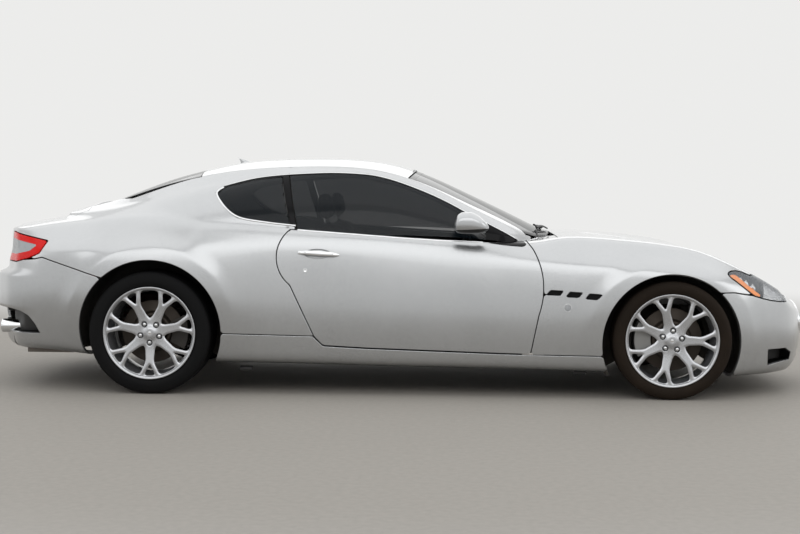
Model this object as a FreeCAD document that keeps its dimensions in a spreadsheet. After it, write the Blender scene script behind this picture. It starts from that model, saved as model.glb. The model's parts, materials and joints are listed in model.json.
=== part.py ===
"""Two-door coupe at full size: body panels cut from one outer form, cabin, wheels, steering and running gear.

Frame: origin on the ground under the middle of the car's length, +X to the nose, +Y to the car's left, +Z up.
"""
import FreeCAD, Part
import math
import os
from FreeCAD import Placement, Rotation, Vector

doc = FreeCAD.newDocument("coupe")

# Driving sizes in millimetres, one cell each
SIZES = (
    ("wheelbase", 2942), ("front_overhang", 873), ("rear_overhang", 1066), ("body_width", 1915),
    ("body_height", 1353), ("mirror_reach", 1028), ("track_front", 1586), ("track_rear", 1590),
    ("tyre_radius_front", 333), ("tyre_radius_rear", 347), ("tyre_width_front", 248), ("tyre_width_rear", 288),
    ("rim_radius", 262), ("bead_radius", 250), ("rim_width_front", 216), ("rim_width_rear", 262),
    ("flange_wall", 9), ("arch_gap_front", 59), ("arch_gap_rear", 58), ("liner_gap", 9), ("liner_wall", 6),
    ("move_gap", 7), ("fixed_gap", 0.3), ("sheet_wall", 14), ("side_wall", 40), ("door_wall", 90),
    ("lid_wall", 25), ("sill_wall", 125), ("glass_wall", 6), ("rail_wall", 42), ("roof_wall", 30),
    ("lamp_depth", 110), ("spoke_count", 7), ("spoke_wall", 34), ("hub_radius", 74), ("bolt_circle", 54),
    ("disc_radius", 178), ("disc_wall", 30), ("kingpin_offset", 75), ("ball_joint_rise", 128),
    ("ball_joint_rise_rear", 48),
    ("steering_wheel_radius", 188), ("exhaust_radius", 38), ("floor_wall", 20), ("floor_height", 172),
)
sheet = doc.addObject("Spreadsheet::Sheet", "Sizes")
for row, (alias, value) in enumerate(SIZES, start=1):
    sheet.set("A%d" % row, alias)
    sheet.set("B%d" % row, str(value))
    sheet.setAlias("B%d" % row, alias)
doc.recompute()


def size(alias):
    """One value of the sheet, as a number."""
    return float(sheet.get(alias))


# The body's curves are drawn on this car, and the three maps below carry them to the sizes of the sheet
DRAWN = {"wheelbase": 2942.0, "front": 873.0, "rear": 1066.0, "half_width": 957.5, "height": 1353.0, "sill": 165.0}
DRAWN_REAR_AXLE = -(DRAWN["wheelbase"] + DRAWN["front"] + DRAWN["rear"]) / 2 + DRAWN["rear"]
DRAWN_FRONT_AXLE = DRAWN_REAR_AXLE + DRAWN["wheelbase"]
REAR_AXLE = -(size("wheelbase") + size("front_overhang") + size("rear_overhang")) / 2 + size("rear_overhang")
FRONT_AXLE = REAR_AXLE + size("wheelbase")
HALF_LENGTH = (size("wheelbase") + size("front_overhang") + size("rear_overhang")) / 2


def along(x):
    """Drawn X to real X: one scale between the axles and one for each overhang."""
    if x > DRAWN_FRONT_AXLE:
        return FRONT_AXLE + (x - DRAWN_FRONT_AXLE) * size("front_overhang") / DRAWN["front"]
    if x < DRAWN_REAR_AXLE:
        return REAR_AXLE + (x - DRAWN_REAR_AXLE) * size("rear_overhang") / DRAWN["rear"]
    return REAR_AXLE + (x - DRAWN_REAR_AXLE) * size("wheelbase") / DRAWN["wheelbase"]


def across(y):
    """Drawn Y to real Y."""
    return y * size("body_width") / 2 / DRAWN["half_width"]


def up(z):
    """Drawn Z to real Z: the ground clearance stays, and the body above the sill takes the change."""
    if z < DRAWN["sill"]:
        return z
    rise = (size("body_height") - DRAWN["sill"]) / (DRAWN["height"] - DRAWN["sill"])
    return DRAWN["sill"] + (z - DRAWN["sill"]) * rise


# Half sections of the body below the windows, from tail to nose. Columns: station x, then the corners of the
# section as (y, z): bottom, lower side, widest, shoulder, deck edge, and last the height at the middle
BODY_SECTIONS = (
    (-2440, 60, 455, 140, 470, 175, 525, 155, 580, 80, 597, 601),
    (-2413, 200, 422, 300, 442, 330, 525, 310, 595, 200, 626, 634),
    (-2388, 290, 390, 400, 415, 440, 525, 420, 605, 300, 642, 652),
    (-2366, 380, 300, 480, 345, 520, 520, 500, 660, 200, 885, 905),
    (-2340, 440, 237, 555, 275, 592, 515, 570, 740, 400, 915, 944),
    (-2280, 540, 224, 640, 255, 692, 515, 670, 770, 560, 923, 956),
    (-2200, 630, 220, 735, 250, 795, 520, 775, 780, 680, 926, 968),
    (-2000, 720, 224, 825, 250, 890, 550, 868, 800, 730, 952, 1000),
    (-1750, 760, 200, 868, 226, 935, 580, 912, 815, 745, 978, 1046),
    (-1374, 790, 180, 890, 205, 957, 590, 925, 820, 800, 985, 1046),
    (-1000, 800, 170, 893, 192, 938, 610, 905, 840, 838, 980, 985),
    (-566, 805, 168, 896, 188, 918, 630, 890, 860, 850, 953, 957),
    (-146, 805, 160, 896, 180, 912, 640, 885, 830, 850, 926, 930),
    (341, 805, 155, 896, 175, 910, 640, 882, 800, 848, 891, 895),
    (754, 805, 150, 898, 168, 912, 620, 885, 780, 815, 872, 878),
    (1000, 805, 146, 900, 164, 920, 600, 890, 765, 745, 908, 914),
    (1237, 810, 140, 900, 158, 930, 560, 902, 750, 742, 897, 893),
    (1568, 815, 125, 888, 150, 940, 490, 915, 720, 745, 868, 850),
    (1732, 800, 120, 872, 148, 916, 450, 895, 695, 730, 836, 822),
    (1860, 760, 116, 842, 146, 882, 425, 862, 665, 722, 784, 792),
    (1990, 700, 116, 788, 146, 824, 400, 802, 630, 690, 722, 742),
    (2120, 610, 116, 698, 150, 736, 380, 712, 585, 600, 660, 674),
    (2250, 480, 118, 576, 158, 612, 365, 585, 540, 440, 588, 603),
    (2310, 400, 125, 495, 165, 528, 360, 495, 500, 330, 548, 558),
    (2380, 240, 175, 335, 215, 365, 360, 335, 462, 200, 504, 513),
    (2415, 120, 235, 210, 270, 240, 360, 215, 440, 120, 478, 487),
    (2440, 40, 288, 90, 330, 120, 380, 95, 432, 50, 450, 457),
)

# Half sections of the cabin above the belt, in the same columns: foot, belt, glass middle, rail, roof edge, middle
CABIN_SECTIONS = (
    (-1940, 300, 900, 420, 960, 424, 970, 420, 985, 330, 996, 1003),
    (-1850, 400, 900, 540, 962, 545, 982, 535, 1002, 430, 1022, 1036),
    (-1600, 500, 900, 740, 975, 690, 1018, 585, 1060, 470, 1108, 1143),
    (-1350, 500, 900, 795, 985, 722, 1055, 615, 1125, 500, 1190, 1237),
    (-1120, 500, 900, 822, 985, 750, 1095, 630, 1180, 530, 1240, 1293),
    (-900, 500, 900, 832, 980, 764, 1105, 636, 1215, 545, 1272, 1334),
    (-650, 500, 880, 840, 958, 772, 1110, 640, 1247, 560, 1291, 1349),
    (-400, 500, 880, 842, 942, 776, 1108, 645, 1265, 575, 1298, 1353),
    (-157, 500, 870, 842, 925, 782, 1096, 655, 1256, 590, 1286, 1341),
    (41, 500, 860, 840, 912, 787, 1066, 672, 1208, 615, 1241, 1302),
    (239, 500, 850, 836, 898, 792, 1018, 700, 1131, 645, 1166, 1229),
    (437, 500, 840, 826, 886, 798, 958, 745, 1029, 690, 1064, 1137),
    (603, 500, 830, 808, 872, 802, 908, 782, 947, 725, 988, 1060),
    (750, 450, 830, 700, 868, 704, 880, 700, 894, 650, 924, 988),
    (850, 250, 830, 420, 880, 424, 886, 420, 896, 380, 912, 938),
    (925, 30, 830, 80, 884, 84, 888, 80, 892, 50, 897, 900),
)

PLANES = {
    "side": Rotation(Vector(1, 0, 0), Vector(0, 0, 1), Vector(0, -1, 0), "XYZ"),
    "plan": Rotation(),
    "cross": Rotation(Vector(0, 1, 0), Vector(0, 0, 1), Vector(1, 0, 0), "XYZ"),
}
NORMALS = {"side": Vector(0, -1, 0), "plan": Vector(0, 0, 1), "cross": Vector(1, 0, 0)}
LIMIT = 1100.0  # half the depth of a cutting prism, past the body on every side


def add(kind, label):
    """A document object with a plain label."""
    obj = doc.addObject(kind, label.replace(" ", "_"))
    obj.Label = label
    return obj


def put(obj, **values):
    """Sets properties, and binds those given as text to the sheet."""
    for name, value in values.items():
        if isinstance(value, str) and "Sizes." in value:
            obj.setExpression(name, value)
        else:
            setattr(obj, name, value)
    return obj


def draw(sketch, path):
    """Draws a closed path of points; a point marked "via" is the middle of an arc."""
    corners = list(path) + [path[0]]
    here, k = corners[0], 1
    while k < len(corners):
        if len(corners[k]) == 3:
            a, b, c = (Vector(p[0], p[1], 0) for p in (here, corners[k], corners[k + 1]))
            sketch.addGeometry(Part.Arc(a, b, c), False)
            here, k = corners[k + 1], k + 2
        else:
            sketch.addGeometry(Part.LineSegment(Vector(here[0], here[1], 0), Vector(*corners[k], 0)), False)
            here, k = corners[k], k + 1
    return sketch


def sketch_on(label, plane, path, level=0.0):
    """A closed sketch on a plane square to one axis, at a level along that axis."""
    base = {"side": Vector(0, level, 0), "plan": Vector(0, 0, level), "cross": Vector(level, 0, 0)}[plane]
    sketch = add("Sketcher::SketchObject", label)
    sketch.Placement = Placement(base, PLANES[plane])
    return draw(sketch, path)


def grow_path(path, clearance):
    """A closed path moved outwards by a clearance: each point goes along the bisector of its two neighbours' ways."""
    area = sum(a[0] * b[1] - b[0] * a[1] for a, b in zip(path, path[1:] + path[:1]))
    turn = 1 if area > 0 else -1
    grown_path = []
    for before, here, after in zip(path[-1:] + path[:-1], path, path[1:] + path[:1]):
        ways = [math.atan2(b[1] - a[1], b[0] - a[0]) for a, b in ((before, here), (here, after))]
        half_turn = math.remainder(ways[1] - ways[0], 2 * math.pi) / 2
        outward = ways[0] + half_turn - turn * math.pi / 2
        reach = clearance / max(math.cos(half_turn), 0.3)
        moved = (here[0] + reach * math.cos(outward), here[1] + reach * math.sin(outward))
        grown_path.append(moved + tuple(here[2:]))
    return grown_path


def prism(label, plane, path, start, end):
    """A closed path carried from one level to another."""
    profile = sketch_on(label + " outline", plane, path, start)
    solid = add("Part::Extrusion", label)
    way = Vector(0, 1, 0) if plane == "side" else NORMALS[plane]
    return put(solid, Base=profile, DirMode="Custom", Dir=way, LengthFwd=end - start, Solid=True)


def common(label, *shapes):
    """What all the shapes share."""
    return put(add("Part::MultiCommon", label), Shapes=list(shapes))


def fuse(label, *shapes):
    """The shapes as one."""
    return put(add("Part::MultiFuse", label), Shapes=list(shapes))


def cut(label, base, *tools):
    """The base less each tool."""
    tool = tools[0] if len(tools) == 1 else fuse(label + " tools", *tools)
    return put(add("Part::Cut", label), Base=base, Tool=tool)


def mirror(label, source):
    """The same piece on the other side of the car."""
    return put(add("Part::Mirroring", label), Source=source, Normal=Vector(0, 1, 0), Base=Vector(0, 0, 0))


def half_section(row, inset, open_foot):
    """One table row's corners, moved in by a wall: the foot rises by it, or drops where the form is open below."""
    corners = []
    for k in range(1, 11, 2):
        y, z = across(row[k]), up(row[k + 1])
        if k > 5:
            z -= inset
        elif k < 5:
            z += -inset if open_foot else inset
        corners.append((y - inset, z))
    return corners, up(row[11]) - inset


def body_section(label, row, inset, open_foot):
    """A section sketch: flat bottom, arcs for the sides and the deck, lines between them."""
    corners, top = half_section(row, inset, open_foot)
    (yb, zb), (ys, zs), (yw, zw), (yk, zk), (yd, zd) = corners
    path = [(-yb, zb), (yb, zb), (ys, zs), (yw, zw, "via"), (yk, zk), (yd, zd), (0, top, "via"),
            (-yd, zd), (-yk, zk), (-yw, zw, "via"), (-ys, zs)]
    return sketch_on(label, "cross", path, along(row[0]) * (1 - inset / HALF_LENGTH))


def form(label, table, wall=0.0, open_foot=False):
    """A loft through the sections that are wide and high enough to hold the wall all round."""
    rows = [row for row in table if row[1] > 1.3 * wall and row[11] - row[2] > 5 * wall]
    sections = [body_section("%s at %d" % (label, row[0]), row, wall, open_foot) for row in rows]
    return put(add("Part::Loft", label), Sections=sections, Solid=True, Ruled=True)


def side(*points):
    """Drawn side-view points to real ones; a third item marks the middle of an arc."""
    return [(along(p[0]), up(p[1])) + tuple(p[2:]) for p in points]


def plan(*points):
    """Drawn plan-view points to real ones; a third item marks the middle of an arc."""
    return [(along(p[0]), across(p[1])) + tuple(p[2:]) for p in points]


RIGHT = (-LIMIT, 0.0)  # the levels across the car that a piece of the right side lies between
WHOLE = (-LIMIT, LIMIT)
GAP = size("move_gap")
FIT = size("fixed_gap")

# The outer forms and the same forms moved in by each wall
body = form("body form", BODY_SECTIONS)
body_in_sheet = form("body inside sheet", BODY_SECTIONS, size("sheet_wall"))
body_in_side = form("body inside wall", BODY_SECTIONS, size("side_wall"))
body_in_door = form("body inside door", BODY_SECTIONS, size("door_wall"))
body_in_lid = form("body inside lid", BODY_SECTIONS, size("lid_wall"))
body_in_sill = form("body inside sill", BODY_SECTIONS, size("sill_wall"))
cabin = form("cabin form", CABIN_SECTIONS)
cabin_in_glass = form("cabin inside glass", CABIN_SECTIONS, size("glass_wall"), True)
cabin_in_roof = form("cabin inside roof", CABIN_SECTIONS, size("roof_wall"), True)
cabin_in_rail = form("cabin inside rail", CABIN_SECTIONS, size("rail_wall"), True)

# Shut lines and window outlines, as the side and plan views show them
DOOR = side((-391, 288), (-440, 337), (-578, 627), (-655, 800, "via"), (-560, 953), (-530, 966), (-146, 939),
            (341, 903), (700, 886), (738, 864), (785, 838), (836, 700, "via"), (819, 472), (775, 252), (606, 255), (-139, 276))
SIDE_GLASS = side((-538, 900), (-612, 1245), (-355, 1261), (-157, 1252), (41, 1204), (239, 1127), (437, 1025),
                  (603, 943), (700, 884), (700, 800), (-520, 800))
REAR_SIDE_GLASS = side((-585, 955), (-655, 1244), (-787, 1230), (-975, 1186), (-1030, 1143), (-1010, 1110, "via"),
                       (-891, 1002), (-767, 980))
FRONT_BUMPER = side((1700, -100), (1700, 601), (1915, 601), (2094, 570), (2262, 549), (2300, 549), (2300, 700),
                    (2600, 700), (2600, -100))
REAR_BUMPER = side((-1600, -100), (-1600, 645), (-1661, 660), (-2001, 765), (-2046, 755), (-2205, 741),
                   (-2600, 741), (-2600, -100))
HEADLAMP = side((1905, 712), (1920, 700), (2094, 571), (2262, 549), (2262, 800), (2100, 800), (1960, 722))
TAIL_LAMP = side((-2003, 861), (-2046, 756), (-2205, 742), (-2600, 742), (-2600, 908), (-2240, 908))
SILL = side((-1500, 100), (-1500, 345), (-965, 345), (-450, 336), (-391, 280), (-139, 268), (606, 247),
            (775, 244), (1500, 238), (1500, 100))
BONNET = plan((935, -700), (935, 700), (1568, 668), (1990, 590), (2200, 500), (2330, 0, "via"), (2200, -500),
              (1990, -590), (1568, -668))
BOOT_LID = plan((-1815, -560), (-1815, 560), (-2600, 560), (-2600, -560))
WINDSCREEN = plan((112, 0, "via"), (75, 625), (750, 652), (925, 0, "via"), (750, -652), (75, -625))
REAR_WINDOW = plan((-1175, 0, "via"), (-1150, -528), (-1350, -500), (-1600, -470), (-1806, -440), (-1806, 440),
                   (-1600, 470), (-1350, 500), (-1150, 528))
ROOF = plan((111.6, 0, "via"), (74.6, -616), (-157, -590), (-400, -575), (-650, -560), (-900, -545), (-1149.6, -529),
            (-1174.6, 0, "via"), (-1149.6, 529), (-900, 545), (-650, 560), (-400, 575), (-157, 590), (74.6, 616))


GRILLE = [(-across(300), up(450)), (0, up(504), "via"), (across(300), up(450)), (across(336), up(400), "via"),
          (across(300), up(350)), (0, up(296), "via"), (-across(300), up(350)), (-across(336), up(400), "via")]
MIDDLE_INTAKE = [(-across(400), up(245)), (across(400), up(245)), (across(370), up(172)), (-across(370), up(172))]
SIDE_INTAKE = side((2136, 271), (2258, 269), (2300, 240), (2290, 196), (2245, 194), (2139, 178))
EXHAUST_BAY = side((-2600, 445), (-2330, 430), (-2235, 385), (-2168, 330), (-2150, 290), (-2600, 290))


def start_on_corner(path):
    """The same closed path, started on a point that is no arc's middle."""
    return path[1:] + path[:1] if len(path[0]) == 3 else path


def panel(label, outline, plane, levels, outer, inner, *tools):
    """A piece of a shell: inside an outline, between an outer form and an inner one, less the tools."""
    blank = common(label + " blank", outer, prism(label + " prism", plane, start_on_corner(outline), *levels))
    return cut(label, blank, inner, *tools)


def grown(label, outline, plane, levels, clearance):
    """A cutting prism: an outline grown by a clearance."""
    return prism(label, plane, grow_path(start_on_corner(outline), clearance), *levels)


def roller(label, radius, x, y, z, length):
    """A cylinder across the car, centred at a point."""
    obj = put(add("Part::Cylinder", label), Radius=radius, Height=length)
    obj.Placement = Placement(Vector(x, y + length / 2, z), Rotation(Vector(1, 0, 0), 90))
    return obj


def block(label, low, high):
    """A box between two corners."""
    obj = put(add("Part::Box", label), Length=high[0] - low[0], Width=high[1] - low[1], Height=high[2] - low[2])
    obj.Placement = Placement(Vector(*low), Rotation())
    return obj


# Wheel arches cut through the sides; the hubs stand as high as their tyres' radii
ARCH_FRONT = size("tyre_radius_front") + size("arch_gap_front")
ARCH_REAR = size("tyre_radius_rear") + size("arch_gap_rear")
HUB_FRONT, HUB_REAR = size("tyre_radius_front"), size("tyre_radius_rear")
FRONT_ARCH_LIFT, REAR_ARCH_LIFT = -18.0, 9.0  # the arches' centres above the hubs, as the side view shows
arches = fuse("arches",
              roller("front arch", ARCH_FRONT, FRONT_AXLE, 0, HUB_FRONT + FRONT_ARCH_LIFT, 2 * LIMIT),
              roller("rear arch", ARCH_REAR, REAR_AXLE, 0, HUB_REAR + REAR_ARCH_LIFT, 2 * LIMIT))

DOOR_SLACK = 4.0  # more gap ahead of the door, whose nose swings in behind the wing's edge
DOOR_BAY = [(p[0] + (DOOR_SLACK if p[0] > along(740) else 0.0),) + tuple(p[1:]) for p in DOOR]
door_hole = grown("door hole", DOOR_BAY, "side", WHOLE, GAP)
NOSE_SLACK = 10.0  # more gap ahead of the bonnet, which swings forward a little as it rises
BONNET_BAY = [(p[0] + (NOSE_SLACK if p[0] > along(1995) else 0.0),) + tuple(p[1:]) for p in BONNET]
bonnet_hole = grown("bonnet hole", BONNET_BAY, "plan", (400.0, 1400.0), GAP)
boot_hole = grown("boot hole", BOOT_LID, "plan", (658.0, 1400.0), GAP)
glass_hole = grown("side glass hole", SIDE_GLASS, "side", WHOLE, GAP)
rear_side_hole = grown("rear side glass hole", REAR_SIDE_GLASS, "side", WHOLE, FIT)
grille_hole = prism("grille hole", "cross", GRILLE, 2000.0, 2700.0)
nose_intakes = fuse("nose intakes",
                    prism("middle intake", "cross", MIDDLE_INTAKE, along(2200), 2700.0),
                    prism("side intake", "side", SIDE_INTAKE, -LIMIT, -across(470)),
                    prism("side intake left", "side", SIDE_INTAKE, across(470), LIMIT))
exhaust_bays = fuse("exhaust bays", prism("exhaust bay", "side", EXHAUST_BAY, -LIMIT, -across(430)),
                    prism("exhaust bay left", "side", EXHAUST_BAY, across(430), LIMIT))
bumper_hole = grown("front bumper hole", FRONT_BUMPER, "side", WHOLE, FIT)
rear_bumper_hole = grown("rear bumper hole", REAR_BUMPER, "side", WHOLE, FIT)
sill_hole = grown("sill hole", SILL, "side", WHOLE, FIT)
headlamp_hole = fuse("headlamp holes", grown("headlamp hole", HEADLAMP, "side", (-LIMIT, -across(440)), FIT),
                     grown("headlamp hole left", HEADLAMP, "side", (across(470), LIMIT), FIT))
tail_lamp_hole = fuse("tail lamp holes", grown("tail lamp hole", TAIL_LAMP, "side", (-LIMIT, -across(567)), FIT),
                      grown("tail lamp hole left", TAIL_LAMP, "side", (across(567), LIMIT), FIT))
windscreen_hole = grown("windscreen hole", WINDSCREEN, "plan", (800.0, 1500.0), FIT)
rear_window_hole = grown("rear window hole", REAR_WINDOW, "plan", (900.0, 1500.0), FIT)
roof_hole = grown("roof hole", ROOF, "plan", (1100.0, 1500.0), FIT)

NODES = {}  # node name to document object


def node(name, obj):
    """Names a finished piece: its label becomes its file's name."""
    obj.Label = name
    NODES[name] = obj
    return obj


def pair(name, right):
    """A piece of the right side and its mirror image, as two nodes."""
    node(name + "_right", right)
    node(name + "_left", mirror(name + " mirrored", right))


# Lower body
door_shell = cut("door shell", panel("door skin", DOOR, "side", (-LIMIT, -across(757)), body, body_in_door),
                 prism("door nose cut", "plan", plan((650, -868), (835, -925), (900, -925), (900, 0), (650, 0)),
                       0.0, 1400.0))
DOOR_PIN_X, DOOR_PIN_Y = along(742), -across(876)  # the door's hinge line, upright
PIN_RADIUS, EYE_RADIUS, EYE_HIGH = 7.0, 14.0, 12.0
DOOR_HINGES = (430.0, 740.0)  # heights of the two hinges


def upright_pin(label, radius, x, y, low, high):
    """An upright cylinder between two levels."""
    return put(add("Part::Cylinder", label), Radius=radius, Height=high - low,
               Placement=Placement(Vector(x, y, low), Rotation()))


def door_hinge(k, z):
    """The door's half of a hinge: two eyes on a strap to the skin, with the pin through them."""
    half = EYE_HIGH / 2 + FIT
    parts = [upright_pin("door pin %d" % k, PIN_RADIUS, DOOR_PIN_X, DOOR_PIN_Y, z - half - EYE_HIGH,
                         z + half + EYE_HIGH)]
    for step, low in enumerate((z - half - EYE_HIGH, z + half)):
        parts.append(upright_pin("door eye %d %d" % (k, step), EYE_RADIUS, DOOR_PIN_X, DOOR_PIN_Y, low, low + EYE_HIGH))
        parts.append(block("door strap %d %d" % (k, step), (DOOR_PIN_X - EYE_RADIUS, -across(903), low),
                           (DOOR_PIN_X + EYE_RADIUS, DOOR_PIN_Y, low + EYE_HIGH)))
    return parts


pair("door", fuse("door with hinges", door_shell, *door_hinge(0, DOOR_HINGES[0]), *door_hinge(1, DOOR_HINGES[1])))
sill = panel("sill rail", SILL, "side", (-LIMIT, -across(668.3)), body, body_in_sill, arches, door_hole)
pad_low = 128.0  # the jacking pads' flat faces, this high above the ground
pads = [block("jacking pad %d" % k, (along(x) - 35, -across(790) - 20, pad_low),
              (along(x) + 35, -across(790) + 20, 185)) for k, x in enumerate((-840, 1060))]
sill_right = fuse("sill with pads", sill, *pads)
node("sills", fuse("sill pair", sill_right, mirror("sill rail left", sill_right)))
pair("wing", panel("wing skin", side((748, 238), (748, 1000), (2258, 1000), (2258, 238)), "side",
                   (-LIMIT, -across(446)), body, body_in_sheet, arches, door_hole, bonnet_hole, bumper_hole,
                   sill_hole, headlamp_hole,
                   prism("cowl corner", "plan", plan((600, -700.3), (935, -700.3), (935, 0), (600, 0)), 600.0, 1400.0)))
node("front_bumper", panel("front bumper skin", FRONT_BUMPER, "side", WHOLE, body, body_in_sheet, arches,
                           bonnet_hole, headlamp_hole, grille_hole, nose_intakes))
node("rear_bumper", panel("rear bumper skin", REAR_BUMPER, "side", WHOLE, body, body_in_sheet, arches, boot_hole,
                          tail_lamp_hole, exhaust_bays,
                          prism("rear underside", "plan", plan((-2225, -680), (-1500, -680), (-1500, 680), (-2225, 680)),
                                -100.0, 400.0)))


def cross_hinge(label, places, pin_x, pin_z, strap_top):
    """A lid's half of its hinges: at each place two eyes on straps up to the lid, with a pin across the car."""
    half, parts = EYE_HIGH / 2 + FIT, []
    for k, y in enumerate(places):
        parts.append(roller("%s pin %d" % (label, k), PIN_RADIUS, pin_x, y, pin_z, 2 * (half + EYE_HIGH)))
        for step, at in enumerate((y - half - EYE_HIGH / 2, y + half + EYE_HIGH / 2)):
            parts.append(roller("%s eye %d %d" % (label, k, step), EYE_RADIUS, pin_x, at, pin_z, EYE_HIGH))
            parts.append(block("%s strap %d %d" % (label, k, step), (pin_x - EYE_RADIUS, at - EYE_HIGH / 2, pin_z),
                               (pin_x + EYE_RADIUS, at + EYE_HIGH / 2, strap_top)))
    return parts


def cross_stands(label, places, pin_x, pin_z, foot):
    """The fixed half of the same hinges: an eye on a stand at each place, bored for the pin."""
    parts = []
    for k, y in enumerate(places):
        parts.append(block("%s stand %d" % (label, k), (pin_x - EYE_RADIUS, y - EYE_HIGH / 2, foot),
                           (pin_x + EYE_RADIUS, y + EYE_HIGH / 2, pin_z)))
        parts.append(roller("%s stand eye %d" % (label, k), EYE_RADIUS, pin_x, y, pin_z, EYE_HIGH))
    return cut(label + " stands", fuse(label + " stands whole", *parts),
               roller(label + " bore", PIN_RADIUS + FIT, pin_x, 0, pin_z, 2 * LIMIT))


BONNET_PIN_X, BONNET_PIN_Z = along(951), up(858)  # the bonnet's hinge line
BONNET_HINGES = (-across(520), across(520))
bonnet_skin = panel("bonnet skin", BONNET, "plan", (400.0, 1400.0), body, body_in_lid)
node("bonnet", fuse("bonnet with hinges", bonnet_skin,
                    *cross_hinge("bonnet", BONNET_HINGES, BONNET_PIN_X, BONNET_PIN_Z, up(888))))
LID_PIN_X, LID_PIN_Z = along(-1838), up(976)  # the boot lid's hinge line, across the car
LID_HINGES = (-across(250), across(250))
boot_skin = panel("boot lid skin", BOOT_LID, "plan", (665.0, 1400.0), body, body_in_lid)
node("boot_lid", fuse("boot lid with hinges", boot_skin,
                      *cross_hinge("lid", LID_HINGES, LID_PIN_X, LID_PIN_Z, LID_PIN_Z + 30)))

# Cabin shell: pillars, rails, roof and glass
PILLAR_SPLIT = side((-500, 850), (-590, 1240), (-618, 1262), (-618, 1500), (-2500, 1500), (-2500, 850))
cabin_windows = fuse("cabin windows", windscreen_hole, rear_window_hole, roof_hole, glass_hole, rear_side_hole)
frame_blank = common("side frame blank", cabin,
                     prism("side frame half", "plan", plan((-1905, -1000), (825, -1000), (825, -600), (60, -560), (-1150, -432),
                                                           (-1905, -432)), 800.0, 1500.0))
side_frame = cut("side frame", frame_blank, cabin_in_rail, cabin_windows, body, door_hole, boot_hole)
rear_split = prism("pillar split", "side", PILLAR_SPLIT, *WHOLE)
pair("roof_rail", cut("roof rail", side_frame,
                      prism("pillar split hole", "side", grow_path(PILLAR_SPLIT, FIT), *WHOLE)))
quarter_skin = panel("quarter skin", side((-402, 150), (-402, 1100), (-2500, 1100), (-2500, 150)), "side",
                     (-LIMIT, -across(560)), body, body_in_side, arches, cabin_in_rail, door_hole, boot_hole,
                     rear_bumper_hole, sill_hole, tail_lamp_hole)
pair("quarter", fuse("quarter with pillars", quarter_skin, common("rear pillars", side_frame, rear_split)))
roof_skin = panel("roof skin", ROOF, "plan", (1100.0, 1500.0), cabin, cabin_in_roof)
fin = prism("antenna fin", "side", side((-1020, 1368), (-1040, 1370), (-1075, 1300), (-935, 1315)), -9.0, 9.0)
node("roof_panel", fuse("roof with fin", roof_skin, fin))
node("windscreen", panel("windscreen glass", WINDSCREEN, "plan", (800.0, 1500.0), cabin, cabin_in_glass, body))
node("rear_window", panel("rear window glass", REAR_WINDOW, "plan", (900.0, 1500.0), cabin, cabin_in_glass, body))
pair("door_glass", panel("door glass pane", SIDE_GLASS, "side", RIGHT, cabin, cabin_in_glass, body))
rear_pane = panel("rear side pane", REAR_SIDE_GLASS, "side", RIGHT, cabin, cabin_in_glass, body)
node("rear_side_glass", fuse("rear side panes", rear_pane, mirror("rear side pane left", rear_pane)))

# Lamps and grille
lamp_inner = form("body inside lamp", BODY_SECTIONS, size("lamp_depth"))
headlamp = panel("headlamp right", HEADLAMP, "side", (-LIMIT, -across(470)), body, lamp_inner, bonnet_hole)
node("headlamps", fuse("headlamp pair", headlamp, mirror("headlamp left", headlamp)))
tail_lamp = panel("tail lamp right", TAIL_LAMP, "side", (-LIMIT, -across(567)), body, lamp_inner)
node("tail_lamps", fuse("tail lamp pair", tail_lamp, mirror("tail lamp left", tail_lamp)))

BAR, BAR_GAP, RIM = 14.0, 32.0, 15.0  # the grille's upright bars, the slots between them and its rim
slot_places = [k * (BAR + BAR_GAP) for k in range(-7, 8)]
slots = fuse("grille slots", *[prism("slot %d" % k, "cross",
                                     [(y - BAR_GAP / 2, 0), (y + BAR_GAP / 2, 0), (y + BAR_GAP / 2, 1000),
                                      (y - BAR_GAP / 2, 1000)], 2000.0, 2700.0) for k, y in enumerate(slot_places)])
grille_blank = common("grille blank", body_in_sheet,
                      prism("grille outline", "cross", grow_path(GRILLE, -FIT), 2000.0, 2700.0))
grille_slots = common("grille openings", slots,
                      prism("grille inside", "cross", grow_path(GRILLE, -RIM), 2000.0, 2700.0))
node("grille", cut("grille bars", grille_blank, body_in_side, bonnet_hole, grille_slots))

# Floor, bulkhead with its cowl and hinge posts, and the shelf behind the seats
floor_w = size("floor_wall")
floor_z = size("floor_height")


def pressed_plate(label, points, wall, width):
    """A bent plate across the car: a side-view line given a thickness below it."""
    below = [(x, z - wall) for x, z in reversed(points)]
    return prism(label, "side", side(*points) + side(*below), -across(width), across(width))


cabin_floor = pressed_plate("cabin floor", [(-928, floor_z + floor_w), (690, floor_z + floor_w),
                                            (868, 380)], floor_w, 668)
boot_floor = pressed_plate("boot floor", [(-2290, 455), (-1120, 455), (-1010, 330), (-926, floor_z + floor_w)],
                           floor_w, 560)
rear_panel = prism("rear panel", "side", side((-2290, 436), (-2290, 640), (-2270, 640), (-2270, 436)),
                   -across(560), across(560))
tunnel = cut("tunnel", prism("tunnel outside", "cross", [(-150, floor_z), (-115, 330), (115, 330), (150, floor_z)],
                             along(-935), along(868)),
             prism("tunnel inside", "cross", [(-135, floor_z - 1), (-100, 315), (100, 315), (135, floor_z - 1)],
                   along(-940), along(880)))
floor_parts = (cut("cabin floor open", cabin_floor,
                                        prism("tunnel slot", "cross", [(-134, floor_z - 9), (-100, 315), (100, 315),
                                                                       (134, floor_z - 9)], along(-930), along(875))),
               cut("boot floor open", boot_floor,
                   prism("pipe slot", "cross", [(-134, floor_z - 9), (-100, 315), (100, 315), (134, floor_z - 9)],
                         along(-1002), along(-920))), tunnel)
cowl = panel("cowl panel", plan((740, -700), (898, -700), (898, 700), (740, 700)), "plan", (600.0, 1400.0),
             body, body_in_lid, cabin_in_rail)
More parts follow.
